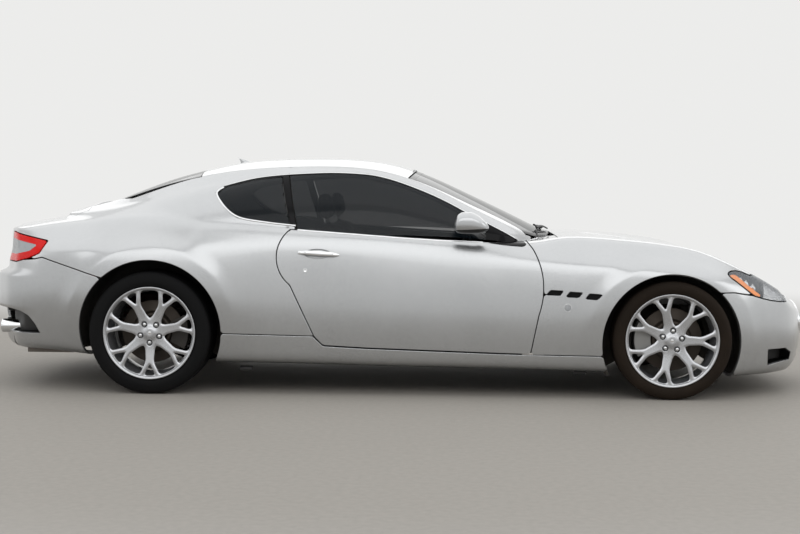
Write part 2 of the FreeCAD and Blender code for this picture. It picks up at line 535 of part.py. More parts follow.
firewall = cut("firewall", common("firewall whole", body_in_lid,
                                  prism("firewall blank", "side", side((872, 200), (872, 960), (890, 960), (890, 200)),
                                        -across(667), across(667))),
               prism("firewall slot", "cross", [(-134, 100), (-100, 315), (100, 315), (134, 100)], along(860),
                     along(900)))
post = block("hinge post", (DOOR_PIN_X - EYE_RADIUS, -across(800), up(392)), (along(885), -across(655), up(825)))
post_eyes = []
for k, z in enumerate(DOOR_HINGES):
    arm = block("post arm %d" % k, (DOOR_PIN_X - EYE_RADIUS, DOOR_PIN_Y, z - EYE_HIGH / 2),
                (DOOR_PIN_X + EYE_RADIUS, -across(799), z + EYE_HIGH / 2))
    eye = upright_pin("post eye %d" % k, EYE_RADIUS, DOOR_PIN_X, DOOR_PIN_Y, z - EYE_HIGH / 2, z + EYE_HIGH / 2)
    post_eyes += [arm, eye]
post_right = cut("hinge post right", fuse("hinge post with arms", post, *post_eyes),
                 upright_pin("door pin bore", PIN_RADIUS + FIT, DOOR_PIN_X, DOOR_PIN_Y, 300, 900))
tray = block("cowl tray", (along(885), -across(680), up(792)), (BONNET_PIN_X + EYE_RADIUS, across(680), up(806)))
bonnet_stands = cross_stands("bonnet", BONNET_HINGES, BONNET_PIN_X, BONNET_PIN_Z, up(800))
node("bulkhead", fuse("bulkhead and cowl", cowl, firewall, post_right, mirror("hinge post left", post_right), tray,
                      bonnet_stands))
shelf = prism("shelf", "side", side((-1130, 905), (-1130, 925), (-1856, 925), (-1856, 905)), -across(560), across(560))
seat_wall = prism("seat wall", "side", side((-1130, 455), (-1130, 906), (-1110, 906), (-1110, 455)),
                  -across(560), across(560))
stands = cross_stands("lid", LID_HINGES, LID_PIN_X, LID_PIN_Z, up(924))
node("floor_pan", fuse("floor pan", *floor_parts, shelf, seat_wall, rear_panel, stands))

# Wheels: the car's right side has its outer face to -Y, and the left wheels are the same ones turned round
def new_body(label):
    """An empty PartDesign body."""
    obj = doc.addObject("PartDesign::Body", label.replace(" ", "_"))
    obj.Label = label
    return obj


def attached(part, label, role, path, offset=0.0):
    """A sketch on one of a body's own origin planes, moved along the plane's normal."""
    plane = next(f for f in part.Origin.OriginFeatures if f.Role == role)
    sketch = part.newObject("Sketcher::SketchObject", label.replace(" ", "_"))
    sketch.AttachmentSupport = (plane, "")
    sketch.MapMode = "FlatFace"
    sketch.AttachmentOffset = Placement(Vector(0, 0, offset), Rotation())
    return draw(sketch, path)


def spin(part, label, path):
    """A solid of revolution about the body's Y axis: path points are (outwards, radius)."""
    sketch = attached(part, label + " profile", "YZ_Plane", [(-p[0], p[1]) + tuple(p[2:]) for p in path])
    return put(part.newObject("PartDesign::Revolution", label.replace(" ", "_")), Profile=sketch,
               ReferenceAxis=(sketch, ["H_Axis"]), Angle=360.0)


SHOULDER_LEAN = 12.0  # how far a tyre's side walls lean in from the flange to the tread


def tyre(label, radius, width):
    """A tyre seated on the rim's flanges: its side walls lean in to a flat tread."""
    part = new_body(label)
    side_wall, seat = width / 2, size("rim_radius") + FIT
    half = [(side_wall, seat), (side_wall - SHOULDER_LEAN, radius)]
    spin(part, label + " ring", [(-y, r) for y, r in half] + half[::-1])
    return part


HUB_BACK = 5.0  # the hub's inner face lies this far inside the wheel's middle plane


def rim(label, rim_width):
    """A wheel with its brake disc: barrel with flanges, hub, and forked spokes in a ring."""
    part = new_body(label)
    seat, wall = rim_width / 2, size("flange_wall")
    bead, lip, disc = size("bead_radius"), size("rim_radius"), size("disc_radius")
    face, hub = seat - 2, size("hub_radius")
    spin(part, label + " barrel",
         [(-seat - wall, lip), (-seat, lip), (-seat, bead), (seat, bead), (seat, lip), (seat + wall, lip),
          (seat + wall, lip - 15), (seat - 18, bead - 12), (-seat - wall, bead - 12)])
    spin(part, label + " hub",
         [(-HUB_BACK, 0), (-HUB_BACK, 110), (-10, 110), (-10, disc), (size("disc_wall") - 10, disc),
          (size("disc_wall") - 10, hub), (face - 4, hub), (face - 9, 30), (face - 9, 0)])
    neck, fork = 0.165 * lip, 0.67 * lip
    spoke = attached(part, label + " spoke outline", "XZ_Plane",
                     [(-29, neck), (-25, 0.42 * lip), (-27, 0.6 * lip), (-60, 238), (-37, 243), (0, fork + 18),
                      (37, 243), (60, 238), (27, 0.6 * lip), (25, 0.42 * lip), (29, neck)],
                     face - size("spoke_wall"))
    pad = put(part.newObject("PartDesign::Pad", label.replace(" ", "_") + "_spoke"), Profile=spoke,
              Length="Sizes.spoke_wall")
    ring = put(part.newObject("PartDesign::PolarPattern", label.replace(" ", "_") + "_spokes"), Originals=[pad],
               Axis=(spoke, ["N_Axis"]), Angle=360.0, Occurrences="Sizes.spoke_count")
    part.Tip = ring
    return part


def stand(part, x, y, z):
    """Sets a wheel on its axle, turned round on the left side."""
    part.Placement = Placement(Vector(x, y, z), Rotation(Vector(0, 0, 1), 180 if y > 0 else 0))
    return part


AXLES = (  # name, axle x, hub height, track, tyre radius, tyre width, rim width
    ("front", FRONT_AXLE, HUB_FRONT, size("track_front"), size("tyre_radius_front"), size("tyre_width_front"),
     size("rim_width_front")),
    ("rear", REAR_AXLE, HUB_REAR, size("track_rear"), size("tyre_radius_rear"), size("tyre_width_rear"),
     size("rim_width_rear")),
)
for axle, x, hub_z, track, radius, width, rim_width in AXLES:
    for hand, sign in (("right", -1), ("left", 1)):
        node("tyre_%s_%s" % (axle, hand), stand(tyre("tyre %s %s" % (axle, hand), radius, width),
                                                x, sign * track / 2, hub_z))
        node("rim_%s_%s" % (axle, hand), stand(rim("rim %s %s" % (axle, hand), rim_width),
                                               x, sign * track / 2, hub_z))


# Uprights with their calipers, arms and subframes
RISE = size("ball_joint_rise")
RISE_REAR = size("ball_joint_rise_rear")
BALL_PIN = 16.0  # radius of the upright's pins at its ball joints
CALIPER = (-38.0, 50.0, 116.0, 206.0, 28.0)  # inner and outer face from the wheel's middle, radii, half angle


def caliper(label, x, z, y_wheel, heading):
    """A brake caliper: a sector of a ring over the disc's edge, slotted for the disc."""
    inner, outer, low, high, half = CALIPER
    ends = [math.radians(heading + a) for a in (-half, 0, half)]

    def at(radius, angle):
        return x + radius * math.cos(angle), z + radius * math.sin(angle)
    path = [at(low, ends[0]), at(high, ends[0]), at(high, ends[1]) + ("via",), at(high, ends[2]),
            at(low, ends[2]), at(low, ends[1]) + ("via",)]
    sector = prism(label + " sector", "side", path, -y_wheel - outer, -y_wheel - inner)
    slot = roller(label + " slot", size("disc_radius") + 7, x, -y_wheel - size("disc_wall") / 2 + 10,
                  z, size("disc_wall") + 14)
    return cut(label, sector, slot)


def upright(label, x, z, y_wheel, heading, rise):
    """The right side's upright: a carrier between its ball joints, a stub to the hub and the caliper's bracket."""
    back = y_wheel - size("kingpin_offset")
    reach = math.cos(math.radians(heading))
    carrier = block(label + " carrier", (x - 28, -back - 18, z - rise), (x + 28, -back + 18, z + rise))
    pins = upright_pin(label + " ball pins", BALL_PIN, x, -back, z - rise - 14, z + rise + 14)
    stub_end = y_wheel - HUB_BACK - FIT
    stub = roller(label + " stub", 46, x, -(back + stub_end) / 2, z, stub_end - back)
    arm = block(label + " bracket", (x + min(reach * 150, 0), -y_wheel + 38, z - 30),
                (x + max(reach * 150, 0), -back + 12, z + 30))
    return fuse(label, carrier, pins, stub, arm, caliper(label + " caliper", x, z, y_wheel, heading))


pair("knuckle", upright("knuckle", FRONT_AXLE, HUB_FRONT, size("track_front") / 2, 180, RISE))
TOWER = 400.0  # half the width between the subframe's towers


def arms(label, x, z, back, rise):
    """Upper and lower arms of the right side, from the tower out to the ball joints."""
    foot = z - rise - 14 - FIT
    head = z + rise + 14 + FIT
    lower = prism(label + " lower arm", "plan", [(x - 150, -TOWER), (x - 26, -back), (x, -back - 26, "via"),
                                                 (x + 26, -back), (x + 150, -TOWER)], foot - 24, foot)
    upper = prism(label + " upper arm", "plan", [(x - 110, -TOWER), (x - 24, -back), (x, -back - 24, "via"),
                                                 (x + 24, -back), (x + 110, -TOWER)], head, head + 20)
    tower = block(label + " tower", (x - 160, -TOWER - 4, foot - 24), (x + 160, -TOWER + 34, head + 20))
    return fuse(label, lower, upper, tower)


front_arms = arms("front suspension", FRONT_AXLE, HUB_FRONT, size("track_front") / 2 - size("kingpin_offset"), RISE)
sub_low, sub_high = HUB_FRONT - RISE - 38 - FIT, HUB_FRONT - RISE + 20
front_cross = block("front crossmember", (FRONT_AXLE - 110, -TOWER + 30, sub_low),
                    (FRONT_AXLE + 110, TOWER - 30, sub_high))
rail = block("front rail", (along(890) + FIT, -TOWER, sub_low), (FRONT_AXLE + 160, -TOWER + 34, sub_high))
nose_rail = block("nose rail", (FRONT_AXLE + 150, -TOWER, sub_low + 30), (along(2080), -TOWER + 34, sub_high + 30))
radiator = block("radiator", (along(2079), -TOWER, sub_low + 30), (along(2130), TOWER, up(500)))
front_right = fuse("front subframe right", front_arms, rail, nose_rail)
node("front_subframe", fuse("front subframe", front_right, mirror("front subframe left", front_right), front_cross,
                            radiator))
rear_right = fuse("rear suspension right",
                  upright("rear upright", REAR_AXLE, HUB_REAR, size("track_rear") / 2, 0, RISE_REAR),
                  arms("rear arms", REAR_AXLE, HUB_REAR, size("track_rear") / 2 - size("kingpin_offset"), RISE_REAR),
                  roller("half shaft", 20, REAR_AXLE, -size("track_rear") / 4 + 20, HUB_REAR,
                         size("track_rear") / 2 - size("kingpin_offset") - 30))
boot_underside = up(455 - floor_w)
rear_cross = block("rear crossmember", (REAR_AXLE - 120, -TOWER + 30, boot_underside - 50),
                   (REAR_AXLE + 120, TOWER - 30, boot_underside - FIT))
node("rear_axle", fuse("rear axle", rear_right, mirror("rear suspension left", rear_right), rear_cross,
                       roller("final drive", 84, REAR_AXLE, 0, HUB_REAR, 300)))
node("engine_block", block("engine", (along(1080), -320, sub_high + FIT), (along(1760), 320, up(735))))


# Liners in the wheel arches
def liner(label, x, z, arch, inner_form):
    """The right side's liner: an open half tube round the wheel, inside the body's skin."""
    low = arch + size("liner_gap")
    span = across(318)
    tube = cut(label + " tube", roller(label + " outside", low + size("liner_wall"), x, -across(562) - span / 2, z, span),
               roller(label + " inside", low, x, -across(562) - span / 2, z, span + 2))
    upper = block(label + " upper", (x - 500, -LIMIT, z - 130), (x + 500, 0, z + 500))
    return cut(label, common(label + " arch", tube, upper, inner_form), sill_hole, headlamp_hole)


front_liner = liner("front liner", FRONT_AXLE, HUB_FRONT + FRONT_ARCH_LIFT, ARCH_FRONT, body_in_sheet)
rear_liner = liner("rear liner", REAR_AXLE, HUB_REAR + REAR_ARCH_LIFT, ARCH_REAR, body_in_side)
node("arch_liners", fuse("arch liners", front_liner, rear_liner, mirror("front liner left", front_liner),
                         mirror("rear liner left", rear_liner)))

# Cabin fittings
SEAT_FLOOR = floor_z + floor_w + FIT
FRONT_SEAT = side((-230, SEAT_FLOOR), (310, SEAT_FLOOR), (345, 330), (350, 440), (290, 488), (-70, 440), (-130, 500),
                  (-320, 930), (-350, 1010), (-368, 1120), (-440, 1140), (-478, 1100), (-462, 980), (-330, 480),
                  (-275, 300))
REAR_SEAT = side((-914, SEAT_FLOOR), (-640, SEAT_FLOOR), (-620, 400), (-660, 440), (-890, 400), (-950, 470),
                 (-1060, 860), (-1085, 900), (-1109.7, 900), (-1109.7, 470), (-1000, 345))
seat_front = prism("front seat", "side", FRONT_SEAT, -across(625), -across(165))
seat_rear = prism("rear seat", "side", REAR_SEAT, -across(540), -across(158))
node("seats", fuse("seat set", seat_front, seat_rear, mirror("front seat left", seat_front),
                   mirror("rear seat left", seat_rear)))
dash_body = prism("dash", "side", side((871.7, 540), (640, 540), (575, 620), (555, 720), (590, 800), (700, 866),
                                       (735, 866), (735, 838), (871.7, 838)), -across(650), across(650))
console = prism("console", "side", side((-480, 330.3), (689, 330.3), (700, 600), (600, 600), (560, 480), (100, 440),
                                        (-440, 520), (-490, 480)), -95.0, 95.0)
WHEEL_AT = Vector(along(395), across(395), up(800))
WHEEL_TILT = Rotation(Vector(0, 1, 0), -90 + 22)  # the steering wheel's own +Z leans back towards the driver
shroud = put(add("Part::Cylinder", "column shroud"), Radius=30, Height=130 - FIT,
             Placement=Placement(WHEEL_AT, WHEEL_TILT) * Placement(Vector(0, 0, -230), Rotation()))
node("dashboard", fuse("dashboard and console", dash_body, console, shroud))

# Exhaust: silencers hung under the boot floor, crossed by a pipe, with two tips each side
silencer = block("silencer", (along(-2150), -across(650), 200), (along(-1880), -across(250), boot_underside - FIT))
tail_pipes = [put(add("Part::Cylinder", "tail pipe %d" % k), Radius="Sizes.exhaust_radius",
                  Height=along(-2140) - along(-2310),
                  Placement=Placement(Vector(along(-2310), -across(y), up(350)), Rotation(Vector(0, 1, 0), 90)))
              for k, y in enumerate((500, 598))]
front_pipe = put(add("Part::Cylinder", "front pipe"), Radius=25, Height=along(1060) - along(-1890),
                 Placement=Placement(Vector(along(-1890), -75, 222), Rotation(Vector(0, 1, 0), 90)))
exhaust_right = fuse("exhaust right", silencer, front_pipe, *tail_pipes)
node("exhaust", fuse("exhaust", exhaust_right, mirror("exhaust left", exhaust_right),
                     roller("cross pipe", 28, along(-1890), 0, 222, 2 * across(300))))

# Mirrors on the doors, wipers on the cowl, the steering wheel
MIRROR_HEAD = side((350, 1000), (392, 1044), (470, 1030, "via"), (533, 958), (500, 930), (390, 925), (352, 945))
mirror_head = prism("mirror head", "side", MIRROR_HEAD, -size("mirror_reach"), -across(888))
mirror_stalk = cut("mirror stalk", prism("mirror stalk blank", "side", side((440, 860), (440, 950), (505, 950), (505, 860)),
                                         -across(935), -across(838)), body)
pair("mirror", fuse("mirror", mirror_head, mirror_stalk))
cabin_over_glass = form("cabin over the glass", CABIN_SECTIONS, -FIT, True)
cabin_over_wiper = form("cabin over the wipers", CABIN_SECTIONS, -12.0, True)
blades = [prism("wiper %d" % k, "plan", plan(*points), 800.0, 1500.0)
          for k, points in enumerate((((900, -60), (868, -640), (850, -640), (884, -60)),
                                      ((905, 560), (905, 30), (889, 30), (890, 560))))]
node("wipers", cut("wipers", common("wiper blanks", fuse("wiper blades", *blades), cabin_over_wiper),
                   cabin_over_glass, body))
GRIP = [(math.radians(60 * k + 30), 15.0) for k in range(6)]
grip_section = sketch_on("grip section", "side", [(size("steering_wheel_radius") + r * math.cos(a), r * math.sin(a))
                                                  for a, r in GRIP])
ring = put(add("Part::Revolution", "wheel ring"), Source=grip_section, Axis=Vector(0, 0, 1), Base=Vector(0, 0, 0),
           Angle=360.0, Solid=True)
hub = put(add("Part::Cylinder", "wheel hub"), Radius=52, Height=44, Placement=Placement(Vector(0, 0, -40), Rotation()))
column = put(add("Part::Cylinder", "column"), Radius=20, Height=64,
             Placement=Placement(Vector(0, 0, -100), Rotation()))
bars = [block("wheel bar %d" % k, (0, -16, -14), (size("steering_wheel_radius"), 16, 2)) for k in range(3)]
for k, bar in enumerate(bars):
    bar.Placement = Placement(Vector(0, 0, 0), Rotation(Vector(0, 0, 1), 90 + 90 * k)) * Placement(
        Vector(0, -16, -14), Rotation())
steering = fuse("steering wheel", ring, hub, column, *bars)
steering.Placement = Placement(WHEEL_AT, WHEEL_TILT)
node("steering_wheel", steering)

# Check everything, then write one file a piece
doc.recompute()
for obj in doc.Objects:
    if "Invalid" in obj.State or "Error" in obj.State:
        raise RuntimeError("%s did not recompute" % obj.Label)
for name, obj in NODES.items():
    if obj.Shape.isNull() or not obj.Shape.isValid():
        raise RuntimeError("%s has no valid shape" % name)
os.makedirs("parts", exist_ok=True)
for name, obj in NODES.items():
    obj.Shape.exportStep("parts/%s.step" % name)
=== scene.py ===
"""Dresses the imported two-door coupe: smooth painted panels, glass, lamps, wheels, cabin and studio.

Lengths are metres in the CAD frame: +X to the nose, +Y to the car's left, +Z up, origin on the ground.
The body is one surface of station and angle. Each panel is cut out of it along its own shut lines.
"""

import json
import logging
import math
from dataclasses import dataclass, field
from enum import Enum

import bmesh
import bpy
import numpy as np
from mathutils import Matrix, Vector

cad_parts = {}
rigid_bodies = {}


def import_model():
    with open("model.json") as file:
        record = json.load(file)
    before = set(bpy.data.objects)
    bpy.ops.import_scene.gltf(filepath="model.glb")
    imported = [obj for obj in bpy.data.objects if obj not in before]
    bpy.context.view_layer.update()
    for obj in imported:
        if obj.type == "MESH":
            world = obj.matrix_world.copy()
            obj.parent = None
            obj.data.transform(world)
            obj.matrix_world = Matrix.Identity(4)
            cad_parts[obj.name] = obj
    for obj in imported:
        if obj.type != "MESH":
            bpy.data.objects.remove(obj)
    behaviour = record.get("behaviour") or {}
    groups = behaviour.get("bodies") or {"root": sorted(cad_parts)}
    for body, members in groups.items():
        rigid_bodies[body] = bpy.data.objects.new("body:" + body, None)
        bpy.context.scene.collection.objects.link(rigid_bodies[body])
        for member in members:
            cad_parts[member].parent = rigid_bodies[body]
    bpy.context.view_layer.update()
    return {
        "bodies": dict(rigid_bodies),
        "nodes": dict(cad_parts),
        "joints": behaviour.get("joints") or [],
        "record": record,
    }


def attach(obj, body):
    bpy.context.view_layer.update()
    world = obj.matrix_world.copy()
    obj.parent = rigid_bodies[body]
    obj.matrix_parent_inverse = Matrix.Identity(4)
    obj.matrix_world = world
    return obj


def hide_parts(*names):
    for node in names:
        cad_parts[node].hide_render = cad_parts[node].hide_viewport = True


log = logging.getLogger("coupe")
MM = 0.001

# Half sections below the windows, tail to nose, in millimetres. Columns: station x, then bottom, lower side,
# widest, shoulder and deck edge as (y, z), and the height at the middle
BODY_SECTIONS = (
    (-2440, 60, 455, 140, 470, 175, 525, 155, 580, 80, 597, 601),
    (-2413, 200, 422, 300, 442, 330, 525, 310, 595, 200, 626, 634),
    (-2388, 290, 390, 400, 415, 440, 525, 420, 605, 300, 642, 652),
    (-2366, 380, 300, 480, 345, 520, 520, 500, 660, 200, 885, 905),
    (-2340, 440, 237, 555, 275, 592, 515, 570, 740, 400, 915, 944),
    (-2280, 540, 224, 640, 255, 692, 515, 670, 770, 560, 923, 956),
    (-2200, 630, 220, 735, 250, 795, 520, 775, 780, 680, 926, 968),
    (-2000, 720, 224, 825, 250, 890, 550, 868, 800, 730, 952, 1000),
    (-1750, 760, 200, 868, 226, 935, 580, 912, 815, 745, 978, 1046),
    (-1374, 790, 180, 890, 205, 957, 590, 925, 820, 800, 985, 1046),
    (-1000, 800, 170, 893, 192, 938, 610, 905, 840, 838, 980, 985),
    (-566, 805, 168, 896, 188, 918, 630, 890, 860, 850, 953, 957),
    (-146, 805, 160, 896, 180, 912, 640, 885, 830, 850, 926, 930),
    (341, 805, 155, 896, 175, 910, 640, 882, 800, 848, 891, 895),
    (754, 805, 150, 898, 168, 912, 620, 885, 780, 815, 872, 878),
    (1000, 805, 146, 900, 164, 920, 600, 890, 765, 745, 908, 914),
    (1237, 810, 140, 900, 158, 930, 560, 902, 750, 742, 897, 893),
    (1568, 815, 125, 888, 150, 940, 490, 915, 720, 745, 868, 850),
    (1732, 800, 120, 872, 148, 916, 450, 895, 695, 730, 836, 822),
    (1860, 760, 116, 842, 146, 882, 425, 862, 665, 722, 784, 792),
    (1990, 700, 116, 788, 146, 824, 400, 802, 630, 690, 722, 742),
    (2120, 610, 116, 698, 150, 736, 380, 712, 585, 600, 660, 674),
    (2250, 480, 118, 576, 158, 612, 365, 585, 540, 440, 588, 603),
    (2310, 400, 125, 495, 165, 528, 360, 495, 500, 330, 548, 558),
    (2380, 240, 175, 335, 215, 365, 360, 335, 462, 200, 504, 513),
    (2415, 120, 235, 210, 270, 240, 360, 215, 440, 120, 478, 487),
    (2440, 40, 288, 90, 330, 120, 380, 95, 432, 50, 450, 457),
)

# Half sections of the cabin in the same columns: foot, belt, glass middle, rail, roof edge, middle
CABIN_SECTIONS = (
    (-1940, 300, 900, 420, 960, 424, 970, 420, 985, 330, 996, 1003),
    (-1850, 400, 900, 540, 962, 545, 982, 535, 1002, 430, 1022, 1036),
    (-1600, 500, 900, 740, 975, 690, 1018, 585, 1060, 470, 1108, 1143),
    (-1350, 500, 900, 795, 985, 722, 1055, 615, 1125, 500, 1190, 1237),
    (-1120, 500, 900, 822, 985, 750, 1095, 630, 1180, 530, 1240, 1293),
    (-900, 500, 900, 832, 980, 764, 1105, 636, 1215, 545, 1272, 1334),
    (-650, 500, 880, 840, 958, 772, 1110, 640, 1247, 560, 1291, 1349),
    (-400, 500, 880, 842, 942, 776, 1108, 645, 1265, 575, 1298, 1353),
    (-157, 500, 870, 842, 925, 782, 1096, 655, 1256, 590, 1286, 1341),
    (41, 500, 860, 840, 912, 787, 1066, 672, 1208, 615, 1241, 1302),
    (239, 500, 850, 836, 898, 792, 1018, 700, 1131, 645, 1166, 1229),
    (437, 500, 840, 826, 886, 798, 958, 745, 1029, 690, 1064, 1137),
    (603, 500, 830, 808, 872, 802, 908, 782, 947, 725, 988, 1060),
    (750, 450, 830, 700, 868, 704, 880, 700, 894, 650, 924, 988),
    (850, 250, 830, 420, 880, 424, 886, 420, 896, 380, 912, 938),
    (925, 30, 830, 80, 884, 84, 888, 80, 892, 50, 897, 900),
)

REAR_AXLE, FRONT_AXLE = -1.3745, 1.5675
HUB_REAR, HUB_FRONT = 0.347, 0.333
TRACK_REAR, TRACK_FRONT = 0.795, 0.793
SHUT_GAP = 0.0045


class Side(Enum):
    """A side of the car, with the sign of its Y."""

    RIGHT = -1
    LEFT = 1

    @property
    def word(self) -> str:
        """The side's name as the nodes spell it."""
        return self.name.lower()


def monotone_curve(knots: np.ndarray, values: np.ndarray, at: np.ndarray) -> np.ndarray:
    """Carries columns of values along knots by cubic pieces that never overshoot.

    Args:
        knots: increasing places, one per row.
        values: rows by columns.
        at: the places asked for.

    Returns:
        One row of values per place. Slopes are the harmonic mean of the two neighbouring chords' slopes.
    """
    step = np.diff(knots)[:, None]
    chord = np.diff(values, axis=0) / step
    slope = np.zeros_like(values)
    before, after = chord[:-1], chord[1:]
    same = before * after > 0
    weight_a, weight_b = 2 * step[1:] + step[:-1], step[1:] + 2 * step[:-1]
    with np.errstate(divide="ignore", invalid="ignore"):
        mean = (weight_a + weight_b) / (weight_a / before + weight_b / after)
    slope[1:-1] = np.where(same, mean, 0.0)
    slope[0], slope[-1] = chord[0], chord[-1]
    k = np.clip(np.searchsorted(knots, at, side="right") - 1, 0, len(knots) - 2)
    h = np.diff(knots)[k][:, None]
    s = ((at - knots[k])[:, None]) / h
    a, b = values[k], values[k + 1]
    return (a * (2 * s**3 - 3 * s**2 + 1) + h * slope[k] * (s**3 - 2 * s**2 + s)
            + b * (3 * s**2 - 2 * s**3) + h * slope[k + 1] * (s**3 - s**2))


def soften(values: np.ndarray, sigma: float) -> np.ndarray:
    """Smooths the rows of an array with a bell curve that is sigma rows wide; the ends keep their values."""
    if sigma <= 0:
        return values
    reach = int(math.ceil(3 * sigma))
    bell = np.exp(-0.5 * (np.arange(-reach, reach + 1) / sigma) ** 2)
    bell /= bell.sum()
    low = 2 * values[:1] - values[reach:0:-1]
    high = 2 * values[-1:] - values[-2:-reach - 2:-1]
    long = np.concatenate([low, values, high])
    return np.stack([np.convolve(column, bell, mode="valid") for column in long.T], axis=1)


def smooth_step(low: float, high: float, at: np.ndarray) -> np.ndarray:
    """0 below low, 1 above high, and 3s^2 - 2s^3 between; low may be the larger."""
    s = np.clip((at - low) / (high - low), 0.0, 1.0)
    return s * s * (3 - 2 * s)


def smooth_max(a: np.ndarray, b: np.ndarray, blend: np.ndarray) -> np.ndarray:
    """The larger of two, their crossing rounded: adds (blend - |a - b|)^2 / (4 blend)."""
    rise = np.maximum(blend - np.abs(a - b), 0.0)
    return np.maximum(a, b) + rise**2 / (4 * np.maximum(blend, 1e-6))


def outline_distance(u: np.ndarray, v: np.ndarray, corners: np.ndarray) -> np.ndarray:
    """Distance of points from a closed outline, below zero inside it.

    Args:
        u: first coordinate of each point.
        v: second coordinate of each point.
        corners: the outline's points, one row each.

    Returns:
        Signed distances: the nearest segment gives the size and the crossing count gives the sign.
    """
    flat_u, flat_v = u.ravel(), v.ravel()
    best = np.full(flat_u.shape, 1e9)
    inside = np.zeros(flat_u.shape, dtype=bool)
    for (au, av), (bu, bv) in zip(corners, np.roll(corners, -1, axis=0)):
        du, dv = bu - au, bv - av
        length = du * du + dv * dv
        if length < 1e-14:
            continue
        s = np.clip(((flat_u - au) * du + (flat_v - av) * dv) / length, 0, 1)
        best = np.minimum(best, (flat_u - au - s * du) ** 2 + (flat_v - av - s * dv) ** 2)
        crosses = (av > flat_v) != (bv > flat_v)
        if dv != 0:
            inside ^= crosses & (flat_u < au + (flat_v - av) * du / dv)
    return np.where(inside, -1.0, 1.0).reshape(u.shape) * np.sqrt(best).reshape(u.shape)


def outline(*points: tuple) -> np.ndarray:
    """Points in millimetres as an outline in metres; a point marked "via" is the middle of an arc."""
    here, out, k = points[0], [], 0
    ring = list(points) + [points[0]]
    while k < len(ring) - 1:
        a = ring[k]
        if len(ring[k + 1]) == 3:
            out.extend(arc_points(a[:2], ring[k + 1][:2], ring[k + 2][:2]))
            k += 2
        else:
            out.append(a[:2])
            k += 1
    return np.array(out, dtype=float) * MM


def arc_points(a: tuple, b: tuple, c: tuple, count: int = 14) -> list:
    """Points from a towards c, without c, on the circle through a, b and c."""
    ax, ay = a
    d = 2 * (ax * (b[1] - c[1]) + b[0] * (c[1] - ay) + c[0] * (ay - b[1]))
    sa, sb, sc = ax * ax + ay * ay, b[0] ** 2 + b[1] ** 2, c[0] ** 2 + c[1] ** 2
    ox = (sa * (b[1] - c[1]) + sb * (c[1] - ay) + sc * (ay - b[1])) / d
    oy = (sa * (c[0] - b[0]) + sb * (ax - c[0]) + sc * (b[0] - ax)) / d
    start = math.atan2(ay - oy, ax - ox)
    middle = (math.atan2(b[1] - oy, b[0] - ox) - start) % (2 * math.pi)
    end = (math.atan2(c[1] - oy, c[0] - ox) - start) % (2 * math.pi)
    if middle > end:
        end -= 2 * math.pi
    radius = math.hypot(ax - ox, ay - oy)
    return [(ox + radius * math.cos(start + end * s), oy + radius * math.sin(start + end * s))
            for s in np.arange(count) / count]


# Shut lines and openings as the side view (x, z) and the plan (x, y) show them
DOOR = outline((-391, 288), (-440, 337), (-578, 627), (-655, 800, "via"), (-560, 953), (-540, 1010),
               (-146, 1000), (341, 960), (700, 930), (742, 890), (785, 838), (836, 700, "via"), (819, 472),
               (775, 252), (606, 255), (-139, 276))
SAIL_FOOT = outline((500, 915), (505, 877), (555, 866), (604, 860), (668, 853), (734, 849), (752, 862),
                    (700, 915))
SIDE_GLASS = outline((-538, 900), (-612, 1245), (-355, 1261), (-157, 1252), (41, 1204), (239, 1127),
                     (437, 1025), (603, 943), (700, 884), (700, 800), (-520, 800))
REAR_SIDE_GLASS = outline((-585, 955), (-655, 1244), (-787, 1230), (-975, 1186), (-1030, 1143),
                          (-1010, 1110, "via"), (-891, 1002), (-767, 980))
FRONT_BUMPER = outline((1700, -100), (1700, 601), (1915, 601), (2094, 570), (2262, 549), (2300, 549),
                       (2300, 700), (2600, 700), (2600, -100))
REAR_BUMPER = outline((-1600, -100), (-1600, 645), (-1661, 660), (-2001, 765), (-2046, 755), (-2205, 741),
                      (-2600, 741), (-2600, -100))
HEADLAMP = outline((1888, 704), (1893, 712), (1908, 718), (1942, 719), (1979, 710), (2027, 690), (2064, 692),
                   (2110, 800), (2270, 800), (2281, 600), (2281, 538), (2262, 537), (2215, 541), (2156, 551),
                   (2101, 564), (2072, 573), (2044, 581), (2003, 611), (1965, 641), (1934, 665), (1902, 687))
TAIL_LAMP = outline((-1983, 859), (-2022, 792), (-2090, 762), (-2190, 737), (-2600, 732), (-2600, 908),
                    (-2225, 902))
TAIL_CLEAR = outline((-2041, 836), (-2087, 801), (-2190, 779), (-2600, 772), (-2600, 870), (-2215, 864))
SILL = outline((-1500, 100), (-1500, 345), (-965, 345), (-450, 336), (-391, 280), (-139, 268), (606, 247),
               (775, 244), (1500, 238), (1500, 100))
BONNET = outline((935, -700), (935, 700), (1568, 668), (1990, 590), (2200, 500), (2330, 0, "via"),
                 (2200, -500), (1990, -590), (1568, -668))
BOOT_LID = outline((-1815, -560), (-1815, 560), (-2600, 560), (-2600, -560))
WINDSCREEN = outline((75, -600), (112, 0, "via"), (75, 600), (750, 628), (925, 0, "via"), (750, -628))
REAR_WINDOW = outline((-1150, 528), (-1175, 0, "via"), (-1150, -528), (-1350, -500), (-1600, -470),
                      (-1806, -440), (-1806, 440), (-1600, 470), (-1350, 500))
ROOF_SIDE = ((75, 616), (-157, 590), (-400, 575), (-650, 560), (-900, 545), (-1150, 529))
GRILLE = outline((-300, 450), (0, 504, "via"), (300, 450), (336, 400, "via"), (300, 350), (0, 296, "via"),
                 (-300, 350), (-336, 400, "via"))
MIDDLE_INTAKE = outline((-400, 245), (400, 245), (370, 172), (-370, 172))
SIDE_INTAKE = outline((2136, 271), (2258, 269), (2300, 240), (2290, 196), (2245, 194), (2139, 178))
